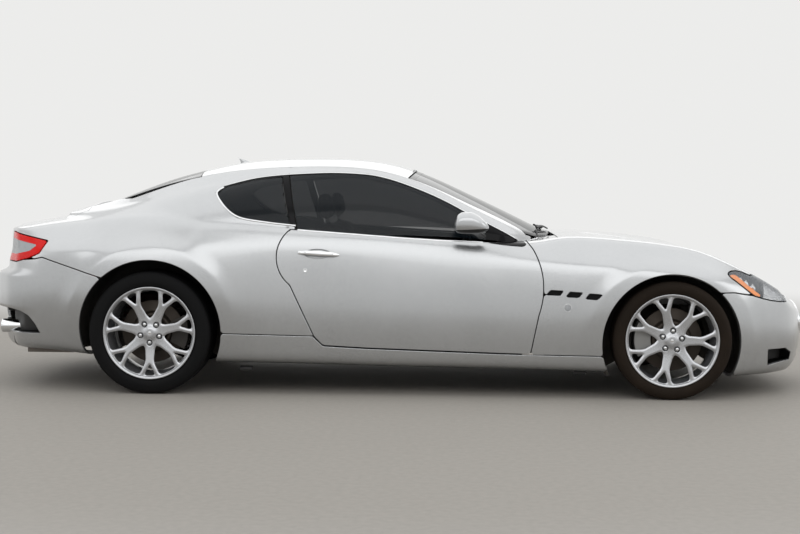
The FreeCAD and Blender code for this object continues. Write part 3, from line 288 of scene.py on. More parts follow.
SIDE_WINDOWS = outline((-520, 800), (-560, 957), (-767, 980), (-891, 1002), (-1010, 1110, "via"),
                       (-1030, 1143), (-975, 1186), (-787, 1230), (-655, 1244), (-500, 1256), (-355, 1261),
                       (-157, 1252), (41, 1204), (239, 1127), (437, 1025), (603, 943), (700, 884),
                       (700, 800))
VENTS = (outline((884, 612), (958, 609), (938, 582), (859, 584)),
         outline((992, 604), (1066, 600), (1041, 571), (967, 574)),
         outline((1100, 595), (1175, 591), (1145, 560), (1076, 564)))
EXHAUST_BAY = outline((-2600, 474), (-2210, 466), (-2150, 455), (-2093, 432), (-2052, 386), (-2022, 330),
                      (-2199, 326), (-2600, 318))


@dataclass
class Patch:
    """A grid of surface points with the distances that cut it, ready to be clipped into a piece.

    Attributes:
        points: (rows, columns, 3) places.
        normals: (rows, columns, 3) outward directions.
        keep: (rows, columns) distance from the outline, below zero where the piece is.
        soft: distances that mark seams with no edge: where one is near zero, the boundary gets no rim.
        hard: the part of keep that is cut short for the rim.
    """

    points: np.ndarray
    normals: np.ndarray
    keep: np.ndarray
    soft: list = field(default_factory=list)
    hard: np.ndarray | None = None


def clip_patch(patch: Patch) -> tuple:
    """Cuts a grid along keep = 0: each cell's corners inside and its edge crossings make one face.

    Returns:
        points, normals, soft values and a list of face index arrays.
    """
    rows, cols = patch.keep.shape
    keep = np.where(np.abs(patch.keep) < 1e-7, -1e-7, patch.keep)
    stack = [patch.points.reshape(-1, 3), patch.normals.reshape(-1, 3)]
    stack += [s.reshape(-1, 1) for s in patch.soft]
    data = np.concatenate(stack, axis=1)
    flat = keep.ravel()
    inside = flat < 0
    number = np.arange(rows * cols).reshape(rows, cols)
    ends_a = np.concatenate([number[:-1].ravel(), number[:, :-1].ravel()])
    ends_b = np.concatenate([number[1:].ravel(), number[:, 1:].ravel()])
    crossing = inside[ends_a] != inside[ends_b]
    s = (flat[ends_a] / (flat[ends_a] - flat[ends_b] + 1e-30))[:, None]
    crossed = data[ends_a] * (1 - s) + data[ends_b] * s
    new_index = np.full(rows * cols, -1)
    new_index[inside] = np.arange(inside.sum())
    edge_index = np.full(len(ends_a), -1)
    edge_index[crossing] = inside.sum() + np.arange(crossing.sum())
    verts = np.concatenate([data[inside], crossed[crossing]])
    down = edge_index[:(rows - 1) * cols].reshape(rows - 1, cols)
    over = edge_index[(rows - 1) * cols:].reshape(rows, cols - 1)
    corner = new_index.reshape(rows, cols)
    ring = [corner[:-1, :-1], down[:, :-1], corner[1:, :-1], over[1:], corner[1:, 1:], down[:, 1:],
            corner[:-1, 1:], over[:-1]]
    ring = np.stack([r.ravel() for r in ring], axis=1)
    used = ring >= 0
    faces = []
    case = used @ (1 << np.arange(8))
    for value in np.unique(case):
        picked = [k for k in range(8) if value >> k & 1]
        if len(picked) >= 3:
            faces.append(ring[case == value][:, picked])
    return verts[:, :3], verts[:, 3:6], verts[:, 6:], faces


def unit(vectors: np.ndarray) -> np.ndarray:
    """The vectors at length one."""
    return vectors / np.maximum(np.linalg.norm(vectors, axis=-1, keepdims=True), 1e-12)


def boundary_of(faces: list) -> np.ndarray:
    """Edges that one face alone uses, in the direction that the face runs."""
    pairs = np.concatenate([np.stack([f, np.roll(f, -1, axis=1)], axis=2).reshape(-1, 2) for f in faces])
    pairs = pairs[pairs[:, 0] != pairs[:, 1]]
    low, high = pairs.min(axis=1), pairs.max(axis=1)
    key = low.astype(np.int64) * (pairs.max() + 1) + high
    _, place, count = np.unique(key, return_index=True, return_counts=True)
    return pairs[place[count == 1]]


def weld(points: np.ndarray, extra: list, faces: list, reach: float = 0.0004) -> tuple:
    """Joins points that share a small cell of space, and drops faces that fall to a line."""
    cell = np.round(points / reach).astype(np.int64)
    _, first, inverse = np.unique(cell, axis=0, return_index=True, return_inverse=True)
    inverse = inverse.ravel()
    whole, folded = [], {}
    for group in faces:
        group = inverse[group]
        plain = (np.diff(np.sort(group, axis=1), axis=1) > 0).all(axis=1)
        whole.append(group[plain])
        for face in group[~plain]:
            ring = [int(v) for k, v in enumerate(face) if v != face[k - 1]]
            if len(set(ring)) == len(ring) >= 3:
                folded.setdefault(len(ring), []).append(ring)
    whole = [g for g in whole if len(g)]
    return points[first], [e[first] for e in extra], whole + [np.array(v) for v in folded.values()]


def rimmed(patch: Patch, radius: float, depth: float) -> tuple:
    """A clipped skin with a rounded edge turned in along its boundary.

    The edge leaves the skin by a quarter circle of the radius and runs in along the normal to the depth.
    The skin is cut short by the radius, so that the edge's outside lies on the outline.

    Returns:
        points, normals and faces.
    """
    short = Patch(patch.points, patch.normals, patch.keep, patch.soft)
    if patch.hard is not None:
        short.keep = np.maximum.reduce([patch.hard + radius] + patch.soft)
    points, normals, soft, faces = clip_patch(short)
    if not faces:
        return points, normals, faces
    points, (normals, soft), faces = weld(points, [normals, soft], faces)
    normals = unit(normals)
    edges = boundary_of(faces)
    if soft.shape[1]:
        at_seam = (np.abs(soft) < 0.0006)
        edges = edges[~(at_seam[edges[:, 0]] & at_seam[edges[:, 1]]).any(axis=1)]
    if not len(edges):
        return points, normals, faces
    ends, place = np.unique(edges.ravel(), return_inverse=True)
    local = place.reshape(edges.shape)
    way = unit(points[edges[:, 1]] - points[edges[:, 0]])
    out = np.zeros((len(ends), 3))
    for side in (0, 1):
        np.add.at(out, local[:, side], np.cross(way, normals[edges[:, side]]))
    up = normals[ends]
    out = unit(out - (out * up).sum(axis=1, keepdims=True) * up)
    base = points[ends]
    rings, ring_normals = [], []
    for angle in (math.pi / 4, math.pi / 2):
        rings.append(base + out * radius * math.sin(angle) - up * radius * (1 - math.cos(angle)))
        ring_normals.append(unit(up * math.cos(angle) + out * math.sin(angle)))
    rings.append(base + out * radius - up * depth)
    ring_normals.append(out)
    start = len(points)
    count = len(ends)
    layers = [ends] + [start + count * k + np.arange(count) for k in range(3)]
    strips = []
    for upper, lower in zip(layers[:-1], layers[1:]):
        strips.append(np.stack([upper[local[:, 1]], upper[local[:, 0]], lower[local[:, 0]],
                                lower[local[:, 1]]], axis=1))
    return (np.concatenate([points] + rings), np.concatenate([normals] + ring_normals), faces + strips)


def join_skins(*skins: tuple) -> tuple:
    """Several (points, normals or None, faces) as one."""
    points, normals, faces, shift = [], [], [], 0
    for p, n, f in skins:
        points.append(p)
        normals.append(n)
        faces.extend(g + shift for g in f)
        shift += len(p)
    return np.concatenate(points), None if normals[0] is None else np.concatenate(normals), faces


def mirrored(skin: tuple) -> tuple:
    """The same skin across the car's middle plane, its faces turned to point outwards."""
    flip = np.array([1.0, -1.0, 1.0])
    points, normals, faces = skin
    return points * flip, None if normals is None else normals * flip, [f[:, ::-1] for f in faces]


def mesh_object(name: str, points: np.ndarray, faces: list, material: bpy.types.Material,
                normals: np.ndarray | None = None, smooth: bool = True) -> bpy.types.Object:
    """Makes a mesh object at the origin.

    Args:
        name: the piece's name.
        points: its points.
        faces: arrays of faces, one array for each number of corners.
        material: its finish.
        normals: one direction a point, where the shading follows the surface and not the faces.
        smooth: whether the faces are shaded smooth.

    Returns:
        The object, linked to the scene.
    """
    mesh = bpy.data.meshes.new(name)
    loops = np.concatenate([np.asarray(f).ravel() for f in faces]).astype(np.int32)
    totals = np.concatenate([np.full(len(f), np.asarray(f).shape[1]) for f in faces]).astype(np.int32)
    mesh.vertices.add(len(points))
    mesh.vertices.foreach_set("co", np.asarray(points, dtype=np.float32).ravel())
    mesh.loops.add(len(loops))
    mesh.loops.foreach_set("vertex_index", loops)
    mesh.polygons.add(len(totals))
    mesh.polygons.foreach_set("loop_start", np.concatenate([[0], np.cumsum(totals)[:-1]]).astype(np.int32))
    mesh.polygons.foreach_set("loop_total", totals)
    mesh.polygons.foreach_set("use_smooth", np.full(len(totals), smooth))
    mesh.update(calc_edges=True)
    mesh.validate()
    if normals is not None and len(mesh.vertices) == len(points):
        mesh.normals_split_custom_set_from_vertices(np.asarray(normals, dtype=np.float32).tolist())
    mesh.materials.append(material)
    obj = bpy.data.objects.new(name, mesh)
    bpy.context.scene.collection.objects.link(obj)
    return obj


def grid_faces(rows: int, cols: int, wrap_rows: bool = False, wrap_cols: bool = False) -> np.ndarray:
    """Quads between neighbouring rows and columns of a grid, closed round where asked."""
    number = np.arange(rows * cols).reshape(rows, cols)
    if wrap_rows:
        number = np.concatenate([number, number[:1]])
    if wrap_cols:
        number = np.concatenate([number, number[:, :1]], axis=1)
    a, b, c, d = number[:-1, :-1], number[1:, :-1], number[1:, 1:], number[:-1, 1:]
    return np.stack([a.ravel(), b.ravel(), c.ravel(), d.ravel()], axis=1)


def grid_object(name: str, points: np.ndarray, material: bpy.types.Material, wrap_rows: bool = False,
                wrap_cols: bool = False) -> bpy.types.Object:
    """A surface from a grid of points, smooth, with its normals made to point out of it."""
    rows, cols = points.shape[:2]
    obj = mesh_object(name, points.reshape(-1, 3), [grid_faces(rows, cols, wrap_rows, wrap_cols)], material)
    return tidy_normals(obj)


def tidy_normals(obj: bpy.types.Object, reach: float = 0.00005) -> bpy.types.Object:
    """Merges doubles and turns every face outwards."""
    work = bmesh.new()
    work.from_mesh(obj.data)
    bmesh.ops.remove_doubles(work, verts=work.verts, dist=reach)
    bmesh.ops.recalc_face_normals(work, faces=work.faces)
    work.to_mesh(obj.data)
    work.free()
    return obj


def turned(profile: np.ndarray, steps: int) -> np.ndarray:
    """A profile of (across, radius) points turned about the Y axis: x = r cos a, y = across, z = r sin a."""
    angle = np.linspace(0, 2 * math.pi, steps, endpoint=False)[:, None]
    across = np.broadcast_to(profile[None, :, 0], (steps, len(profile)))
    return np.stack([profile[None, :, 1] * np.cos(angle), across, profile[None, :, 1] * np.sin(angle)],
                    axis=2)


def rounded_profile(corners: np.ndarray, radius: float, closed: bool = True, steps: int = 4) -> np.ndarray:
    """A polyline with each corner replaced by a curve: points on the two legs joined by a quadratic arc."""
    out = []
    count = len(corners)
    for k, here in enumerate(corners):
        if not closed and k in (0, count - 1):
            out.append(here)
            continue
        before, after = corners[k - 1], corners[(k + 1) % count]
        a, b = before - here, after - here
        la, lb = np.linalg.norm(a), np.linalg.norm(b)
        start, end = here + a / la * min(radius, la / 2.1), here + b / lb * min(radius, lb / 2.1)
        for s in np.linspace(0, 1, steps):
            out.append(start * (1 - s) ** 2 + here * 2 * s * (1 - s) + end * s * s)
    return np.array(out)


def four_cornered(foot: float, low: float, top: float, high: float, radius: float) -> np.ndarray:
    """A rounded section with half widths at its foot and top, between two heights."""
    return rounded_profile(np.array([(-foot, low), (foot, low), (top, high), (-top, high)]), radius)


def swept(path: np.ndarray, profile: np.ndarray, side: np.ndarray, closed: bool = False) -> np.ndarray:
    """Carries a profile along a path.

    Args:
        path: points of the path.
        profile: (across, up) offsets.
        side: one outward direction a point, which the profile's second coordinate follows.
        closed: whether the path joins up.

    Returns:
        A grid of points: place + across * (tangent x side) + up * side.
    """
    if closed:
        tangent = unit(np.roll(path, -1, axis=0) - np.roll(path, 1, axis=0))
    else:
        tangent = unit(np.gradient(path, axis=0))
    up = unit(side - (side * tangent).sum(axis=1, keepdims=True) * tangent)
    across = np.cross(tangent, up)
    return path[:, None] + profile[None, :, :1] * across[:, None] + profile[None, :, 1:] * up[:, None]


def sweep_object(name: str, path: np.ndarray, profile: np.ndarray, side: np.ndarray,
                 material: bpy.types.Material, closed: bool = False) -> bpy.types.Object:
    """A closed profile carried along a path, its two ends shut with fans."""
    grid = swept(path, profile, side, closed)
    rows, cols = grid.shape[:2]
    points = grid.reshape(-1, 3)
    faces = [grid_faces(rows, cols, closed, True)]
    if not closed:
        points = np.concatenate([points, grid[0].mean(axis=0)[None], grid[-1].mean(axis=0)[None]])
        ring = np.arange(cols)
        first = np.stack([ring, np.roll(ring, -1), np.full(cols, rows * cols)], axis=1)
        last = np.stack([np.roll(ring, -1), ring, np.full(cols, 0)], axis=1) + (rows - 1) * cols
        last[:, 2] = rows * cols + 1
        faces.append(np.concatenate([first, last]))
    return tidy_normals(mesh_object(name, points, faces, material))


@dataclass
class BodyForm:
    """The car's whole outside as one surface of station and angle.

    Each station is a section seen from a centre point: the body's and the cabin's outlines become radii
    over the angle, the larger is the outside, and their crossing is rounded where the rear pillars flow
    into the wings.
    """

    stations: int = 480
    angles: int = 216
    body_soft: float = 0.075
    end_soft: float = 0.016
    corner_soft: float = 0.020
    rail_soft: float = 0.012
    pillar_blend: float = 0.13
    centre_high: float = 0.62

    def __post_init__(self) -> None:
        """Works out the sections and the outside."""
        body = np.array(BODY_SECTIONS, dtype=float) * MM
        self.rows, self.x = self.along_car(body, self.stations)
        self.theta = self.angle_steps()
        low, top = self.rows[:, 2], self.rows[:, 11]
        self.centre = soften(np.clip(self.centre_high, low + 0.42 * (top - low),
                                     low + 0.62 * (top - low))[:, None], 8)[:, 0]
        self.body_radius = self.radii(self.rows, self.corner_soft, 0)
        cabin = np.array(CABIN_SECTIONS, dtype=float) * MM
        cabin_rows = monotone_curve(cabin[:, 0], cabin, np.clip(self.x, cabin[0, 0], cabin[-1, 0]))
        cabin_rows = soften(cabin_rows, 5)
        self.cabin_radius = self.radii(cabin_rows, self.rail_soft, 2)
        self.cabin_radius[:, self.theta < 0] = 0.05
        outside = (self.x < cabin[0, 0]) | (self.x > cabin[-1, 0])
        self.cabin_radius[outside] = 0.05
        self.crease = self.body_radius - self.cabin_radius
        blend = 0.004 + self.pillar_blend * smooth_step(-1.05, -1.42, self.x)
        self.outer_radius = smooth_max(self.body_radius, self.cabin_radius, blend[:, None])

    def along_car(self, table: np.ndarray, count: int) -> tuple:
        """The table's columns as smooth functions of the way along the car, by the outline's length."""
        moves = np.diff(table[:, [0, 5, 11, 2]], axis=0)
        chord = np.concatenate([[0], np.cumsum(np.sqrt((moves * [1, 0.8, 0.8, 0.3]) ** 2).sum(axis=1))])
        at = np.linspace(0, chord[-1], count)
        rows = monotone_curve(chord, table, at)
        step = at[1] - at[0]
        middle, ends = soften(rows, self.body_soft / step), soften(rows, self.end_soft / step)
        share = smooth_step(2.30, 2.02, np.abs(rows[:, :1]))
        rows = middle * share + ends * (1 - share)
        return rows, rows[:, 0]

    def angle_steps(self) -> np.ndarray:
        """Angles from the underside's middle to the top's middle, closer together on what shows."""
        return np.radians(np.concatenate([np.linspace(-90, -42, 16, endpoint=False),
                                          np.linspace(-42, 90, self.angles - 16)]))

    def radii(self, rows: np.ndarray, corner: float, skip: int) -> np.ndarray:
        """Each section's distance from its centre over the angle: lines and arcs through its corners.

        The first runs are skipped where they lie inside the section, as the cabin's foot does.
        """
        pieces = []
        y = rows[:, [1, 3, 5, 7, 9]]
        z = rows[:, [2, 4, 6, 8, 10]]
        zero = np.zeros(len(rows))
        s = np.linspace(0, 1, 14)[None]

        def line(ya: np.ndarray, za: np.ndarray, yb: np.ndarray, zb: np.ndarray) -> None:
            """Adds a straight run."""
            pieces.append((ya[:, None] * (1 - s) + yb[:, None] * s, za[:, None] * (1 - s) + zb[:, None] * s))

        line(zero, z[:, 0], y[:, 0], z[:, 0])
        line(y[:, 0], z[:, 0], y[:, 1], z[:, 1])
        first = np.hypot(y[:, 2] - y[:, 1], z[:, 2] - z[:, 1])
        second = np.hypot(y[:, 3] - y[:, 2], z[:, 3] - z[:, 2])
        m = (first / (first + second))[:, None]
        t = np.linspace(0, 1, 40)[None]
        wa, wb, wc = (1 - t) * (m - t) / m, t * (1 - t) / (m * (1 - m)), t * (t - m) / (1 - m)
        pieces.append(tuple(wa * c[:, 1:2] + wb * c[:, 2:3] + wc * c[:, 3:4] for c in (y, z)))
        line(y[:, 3], z[:, 3], y[:, 4], z[:, 4])
        share = np.linspace(1, 0, 40)[None]
        pieces.append((y[:, 4:5] * share, rows[:, 11:12] + (z[:, 4:5] - rows[:, 11:12]) * share**2))
        ys = np.concatenate([p[0] for p in pieces[skip:]], axis=1)
        zs = np.concatenate([p[1] for p in pieces[skip:]], axis=1) - self.centre[:, None]
        angle, radius = np.arctan2(zs, np.maximum(ys, 0)), np.hypot(ys, zs)
        fine = np.radians(np.linspace(-90, 90, 721))
        table = np.stack([np.interp(fine, np.maximum.accumulate(a), r) for a, r in zip(angle, radius)])
        smooth = soften(table.T, corner / 0.75 / (fine[1] - fine[0])).T
        return np.stack([np.interp(self.theta, fine, r) for r in smooth])

    def place(self, radius: np.ndarray) -> np.ndarray:
        """Radii on this grid as points: right side, top and left side, from -90 to 270 degrees."""
        y = radius * np.cos(self.theta)
        z = self.centre[:, None] + radius * np.sin(self.theta)
        half = np.stack([np.broadcast_to(self.x[:, None], y.shape), -y, z], axis=2)
        return np.concatenate([half, half[:, -2::-1] * np.array([1, -1, 1])], axis=1)

    @staticmethod
    def whole(values: np.ndarray) -> np.ndarray:
        """A field of one half, spread over both."""
        return np.concatenate([values, values[:, -2::-1]], axis=1)

    @staticmethod
    def normals_of(points: np.ndarray) -> np.ndarray:
        """Outward directions: the cross product of the grid's two gradients."""
        across = np.gradient(points, axis=0)
        round_car = np.gradient(points, axis=1)
        return unit(np.cross(across, round_car))


CARRIED = {"bulkhead": "grained plastic", "floor_pan": "underbody coat", "front_subframe": "dark cast metal",
           "rear_axle": "dark cast metal", "engine_block": "cast alloy",
           "knuckle_right": "cast alloy", "knuckle_left": "cast alloy", "exhaust": "stained steel"}


class Grain(Enum):
    """The small relief and tone that a finish carries; each is one node group."""

    FLAKE = "metal flake"
    CAST = "cast grain"
    LEATHER = "leather grain"
    MOULDED = "moulded grain"
    BRUSHED = "turned marks"
    RUBBER = "rubber marks"
    WOVEN = "woven cloth"
    RIBBED = "lens ribs"


def add_node(tree: bpy.types.NodeTree, kind: str, inputs: dict | None = None,
             **settings: object) -> bpy.types.Node:
    """Adds a node, sets its settings, and fills or links its inputs by name or number."""
    node = tree.nodes.new("ShaderNode" + kind)
    for key, value in settings.items():
        setattr(node, key, value)
    for key, value in (inputs or {}).items():
        if isinstance(value, bpy.types.NodeSocket):
            tree.links.new(value, node.inputs[key])
        else:
            node.inputs[key].default_value = value
    return node


def new_group(name: str, inputs: dict, outputs: tuple) -> tuple:
    """A shader node group with float inputs and outputs; gives the group with its two end nodes."""
    group = bpy.data.node_groups.new(name, "ShaderNodeTree")
    for key, value in inputs.items():
        socket = group.interface.new_socket(name=key, in_out="INPUT", socket_type="NodeSocketFloat")
        socket.default_value = value
    for key in outputs:
        group.interface.new_socket(name=key, in_out="OUTPUT", socket_type="NodeSocketFloat")
    return group, group.nodes.new("NodeGroupInput"), group.nodes.new("NodeGroupOutput")


class Effects:
    """The node groups that finishes share: one relief a kind of grain, and dust that gathers low down."""

    def __init__(self) -> None:
        """Builds every group once."""
        self.grains = {kind: self.grain(kind) for kind in Grain}
        self.dust = self.dust_group()

    def grain(self, kind: Grain) -> bpy.types.NodeTree:
        """A grain's group: Scale in marks a metre goes in, Tone and Height from 0 to 1 come out."""
        group, start, end = new_group(kind.value, {"Scale": 100.0}, ("Tone", "Height"))
        place = add_node(group, "TexCoord").outputs["Object"]
        scale = start.outputs["Scale"]
        cloud = add_node(group, "TexNoise", {"Vector": place, "Scale": 2.3, "Detail": 4.0}).outputs["Fac"]
        if kind is Grain.LEATHER:
            cells = add_node(group, "TexVoronoi", {"Vector": place, "Scale": scale},
                             feature="DISTANCE_TO_EDGE")
            height = add_node(group, "MapRange", {"Value": cells.outputs["Distance"],
                                                  "From Max": 0.22}).outputs[0]
        elif kind is Grain.BRUSHED:
            parts = add_node(group, "SeparateXYZ", {"Vector": place})
            flat = add_node(group, "CombineXYZ", {"X": parts.outputs["X"], "Z": parts.outputs["Z"]})
            away = add_node(group, "VectorMath", {0: flat.outputs[0]}, operation="LENGTH").outputs["Value"]
            height = add_node(group, "TexNoise", {"W": away, "Scale": scale, "Detail": 3.0},
                              noise_dimensions="1D").outputs["Fac"]
        elif kind in (Grain.WOVEN, Grain.RIBBED):
            waves = []
            for way in ("Y", "Z") if kind is Grain.WOVEN else ("Y",):
                wave = add_node(group, "TexWave", {"Vector": place, "Scale": scale}, bands_direction=way)
                waves.append(wave.outputs["Fac"])
            height = waves[0]
            if len(waves) > 1:
                height = add_node(group, "Math", {0: waves[0], 1: waves[1]}, operation="MULTIPLY").outputs[0]
        else:
            detail = {Grain.FLAKE: 0.0, Grain.CAST: 8.0, Grain.MOULDED: 2.0, Grain.RUBBER: 6.0}[kind]
            height = add_node(group, "TexNoise", {"Vector": place, "Scale": scale,
                                                  "Detail": detail}).outputs["Fac"]
        share = {Grain.FLAKE: 0.5, Grain.LEATHER: 0.6}.get(kind, 0.45)
        tone = add_node(group, "Mix", {0: share, 2: cloud, 3: height}).outputs[0]
        clear = add_node(group, "MapRange", {"Value": tone, "From Min": 0.32, "From Max": 0.68}).outputs[0]
        group.links.new(clear, end.inputs["Tone"])
        group.links.new(height, end.inputs["Height"])
        return group

    def dust_group(self) -> bpy.types.NodeTree:
        """Dust: thick at the ground, gone at Top, and broken up by noise."""
        group, start, end = new_group("settled dust", {"Top": 0.5, "Amount": 0.3}, ("Mask",))
        place = add_node(group, "TexCoord").outputs["Object"]
        high = add_node(group, "SeparateXYZ", {"Vector": place}).outputs["Z"]
        low = add_node(group, "MapRange", {"Value": high, "From Min": start.outputs["Top"],
                                           "From Max": 0.0}).outputs[0]
        cloud = add_node(group, "TexNoise", {"Vector": place, "Scale": 9.0, "Detail": 7.0}).outputs["Fac"]
        spread = add_node(group, "MapRange", {"Value": cloud, "From Min": 0.3, "From Max": 0.72}).outputs[0]
        both = add_node(group, "Math", {0: low, 1: spread}, operation="MULTIPLY").outputs[0]
        mask = add_node(group, "Math", {0: both, 1: start.outputs["Amount"]}, operation="MULTIPLY",
                        use_clamp=True)
        group.links.new(mask.outputs[0], end.inputs["Mask"])
        return group


@dataclass(frozen=True)
class Finish:
    """One finish: its two tones, gloss, relief and dust.

    Attributes:
        name: what the material is called.
        slot: the record's slot that it stands for; not used.
        colour: the main tone.
        second: the tone in its darker marks.
        metallic: 0 for plastic, cloth and glass, 1 for metal.
        gloss: roughness where the tone is 0 and where it is 1.
        coat: clear lacquer over the whole.
        grain: the kind of relief.
        scale: marks a metre.
        relief: how deep the relief is, in millimetres.
        dust: how much dust lies on it, and up to what height.
        alpha: below 1 for tinted or clear covers; edges seen at a slant come out denser.
        glow: strength of light that it gives off.
        sheen: soft light at its edges, for cloth and leather.
        dust_colour: the dust's tone.
        shine: how strongly its surface mirrors, 0.5 for plain plastic and glass.
    """

    name: str
    slot: str
    colour: tuple
    second: tuple
    metallic: float = 0.0
    gloss: tuple = (0.4, 0.5)
    coat: float = 0.0
    grain: Grain = Grain.MOULDED
    scale: float = 600.0
    relief: float = 0.05
    dust: tuple = (0.0, 0.5)
    alpha: float = 1.0
    glow: float = 0.0
    sheen: float = 0.0
    dust_colour: tuple = (0.20, 0.17, 0.13)
    shine: float = 0.5

    def build(self, effects: Effects) -> bpy.types.Material:
        """Makes the material from the shared effects."""
        material = bpy.data.materials.new(self.name)
        material.use_nodes = True
        tree = material.node_tree
        tree.nodes.clear()
        relief = add_node(tree, "Group", node_tree=effects.grains[self.grain])
        relief.inputs["Scale"].default_value = self.scale
        tone = relief.outputs["Tone"]
        colour = add_node(tree, "Mix", {0: tone, 6: (*self.colour, 1), 7: (*self.second, 1)},
                          data_type="RGBA").outputs[2]
        rough = add_node(tree, "MapRange", {"Value": tone, "To Min": self.gloss[0],
                                            "To Max": self.gloss[1]}).outputs[0]
        if self.dust[0]:
            dust = add_node(tree, "Group", node_tree=effects.dust)
            dust.inputs["Amount"].default_value, dust.inputs["Top"].default_value = self.dust
            mask = dust.outputs["Mask"]
            colour = add_node(tree, "Mix", {0: mask, 6: colour, 7: (*self.dust_colour, 1)},
                              data_type="RGBA").outputs[2]
            rough = add_node(tree, "Mix", {0: mask, 2: rough, 3: 0.85}).outputs[0]
        bump = add_node(tree, "Bump", {"Height": relief.outputs["Height"], "Distance": self.relief * MM,
                                       "Strength": 1.0})
        shader = add_node(tree, "BsdfPrincipled", {"Base Color": colour, "Roughness": rough,
                                                   "Metallic": self.metallic, "Normal": bump.outputs[0],
                                                   "Coat Weight": self.coat, "Coat Roughness": 0.03,
                                                   "Sheen Weight": self.sheen,
                                                   "Specular IOR Level": self.shine})
        if self.alpha < 1:
            slant = add_node(tree, "LayerWeight", {"Blend": 0.35}).outputs["Facing"]
            dense = add_node(tree, "MapRange", {"Value": slant, "To Min": self.alpha,
                                                "To Max": min(1.0, self.alpha + 0.35)}).outputs[0]
            tree.links.new(dense, shader.inputs["Alpha"])
        if self.glow:
            tree.links.new(colour, shader.inputs["Emission Color"])
            shader.inputs["Emission Strength"].default_value = self.glow
        out = add_node(tree, "OutputMaterial")
        tree.links.new(shader.outputs[0], out.inputs[0])
        return material


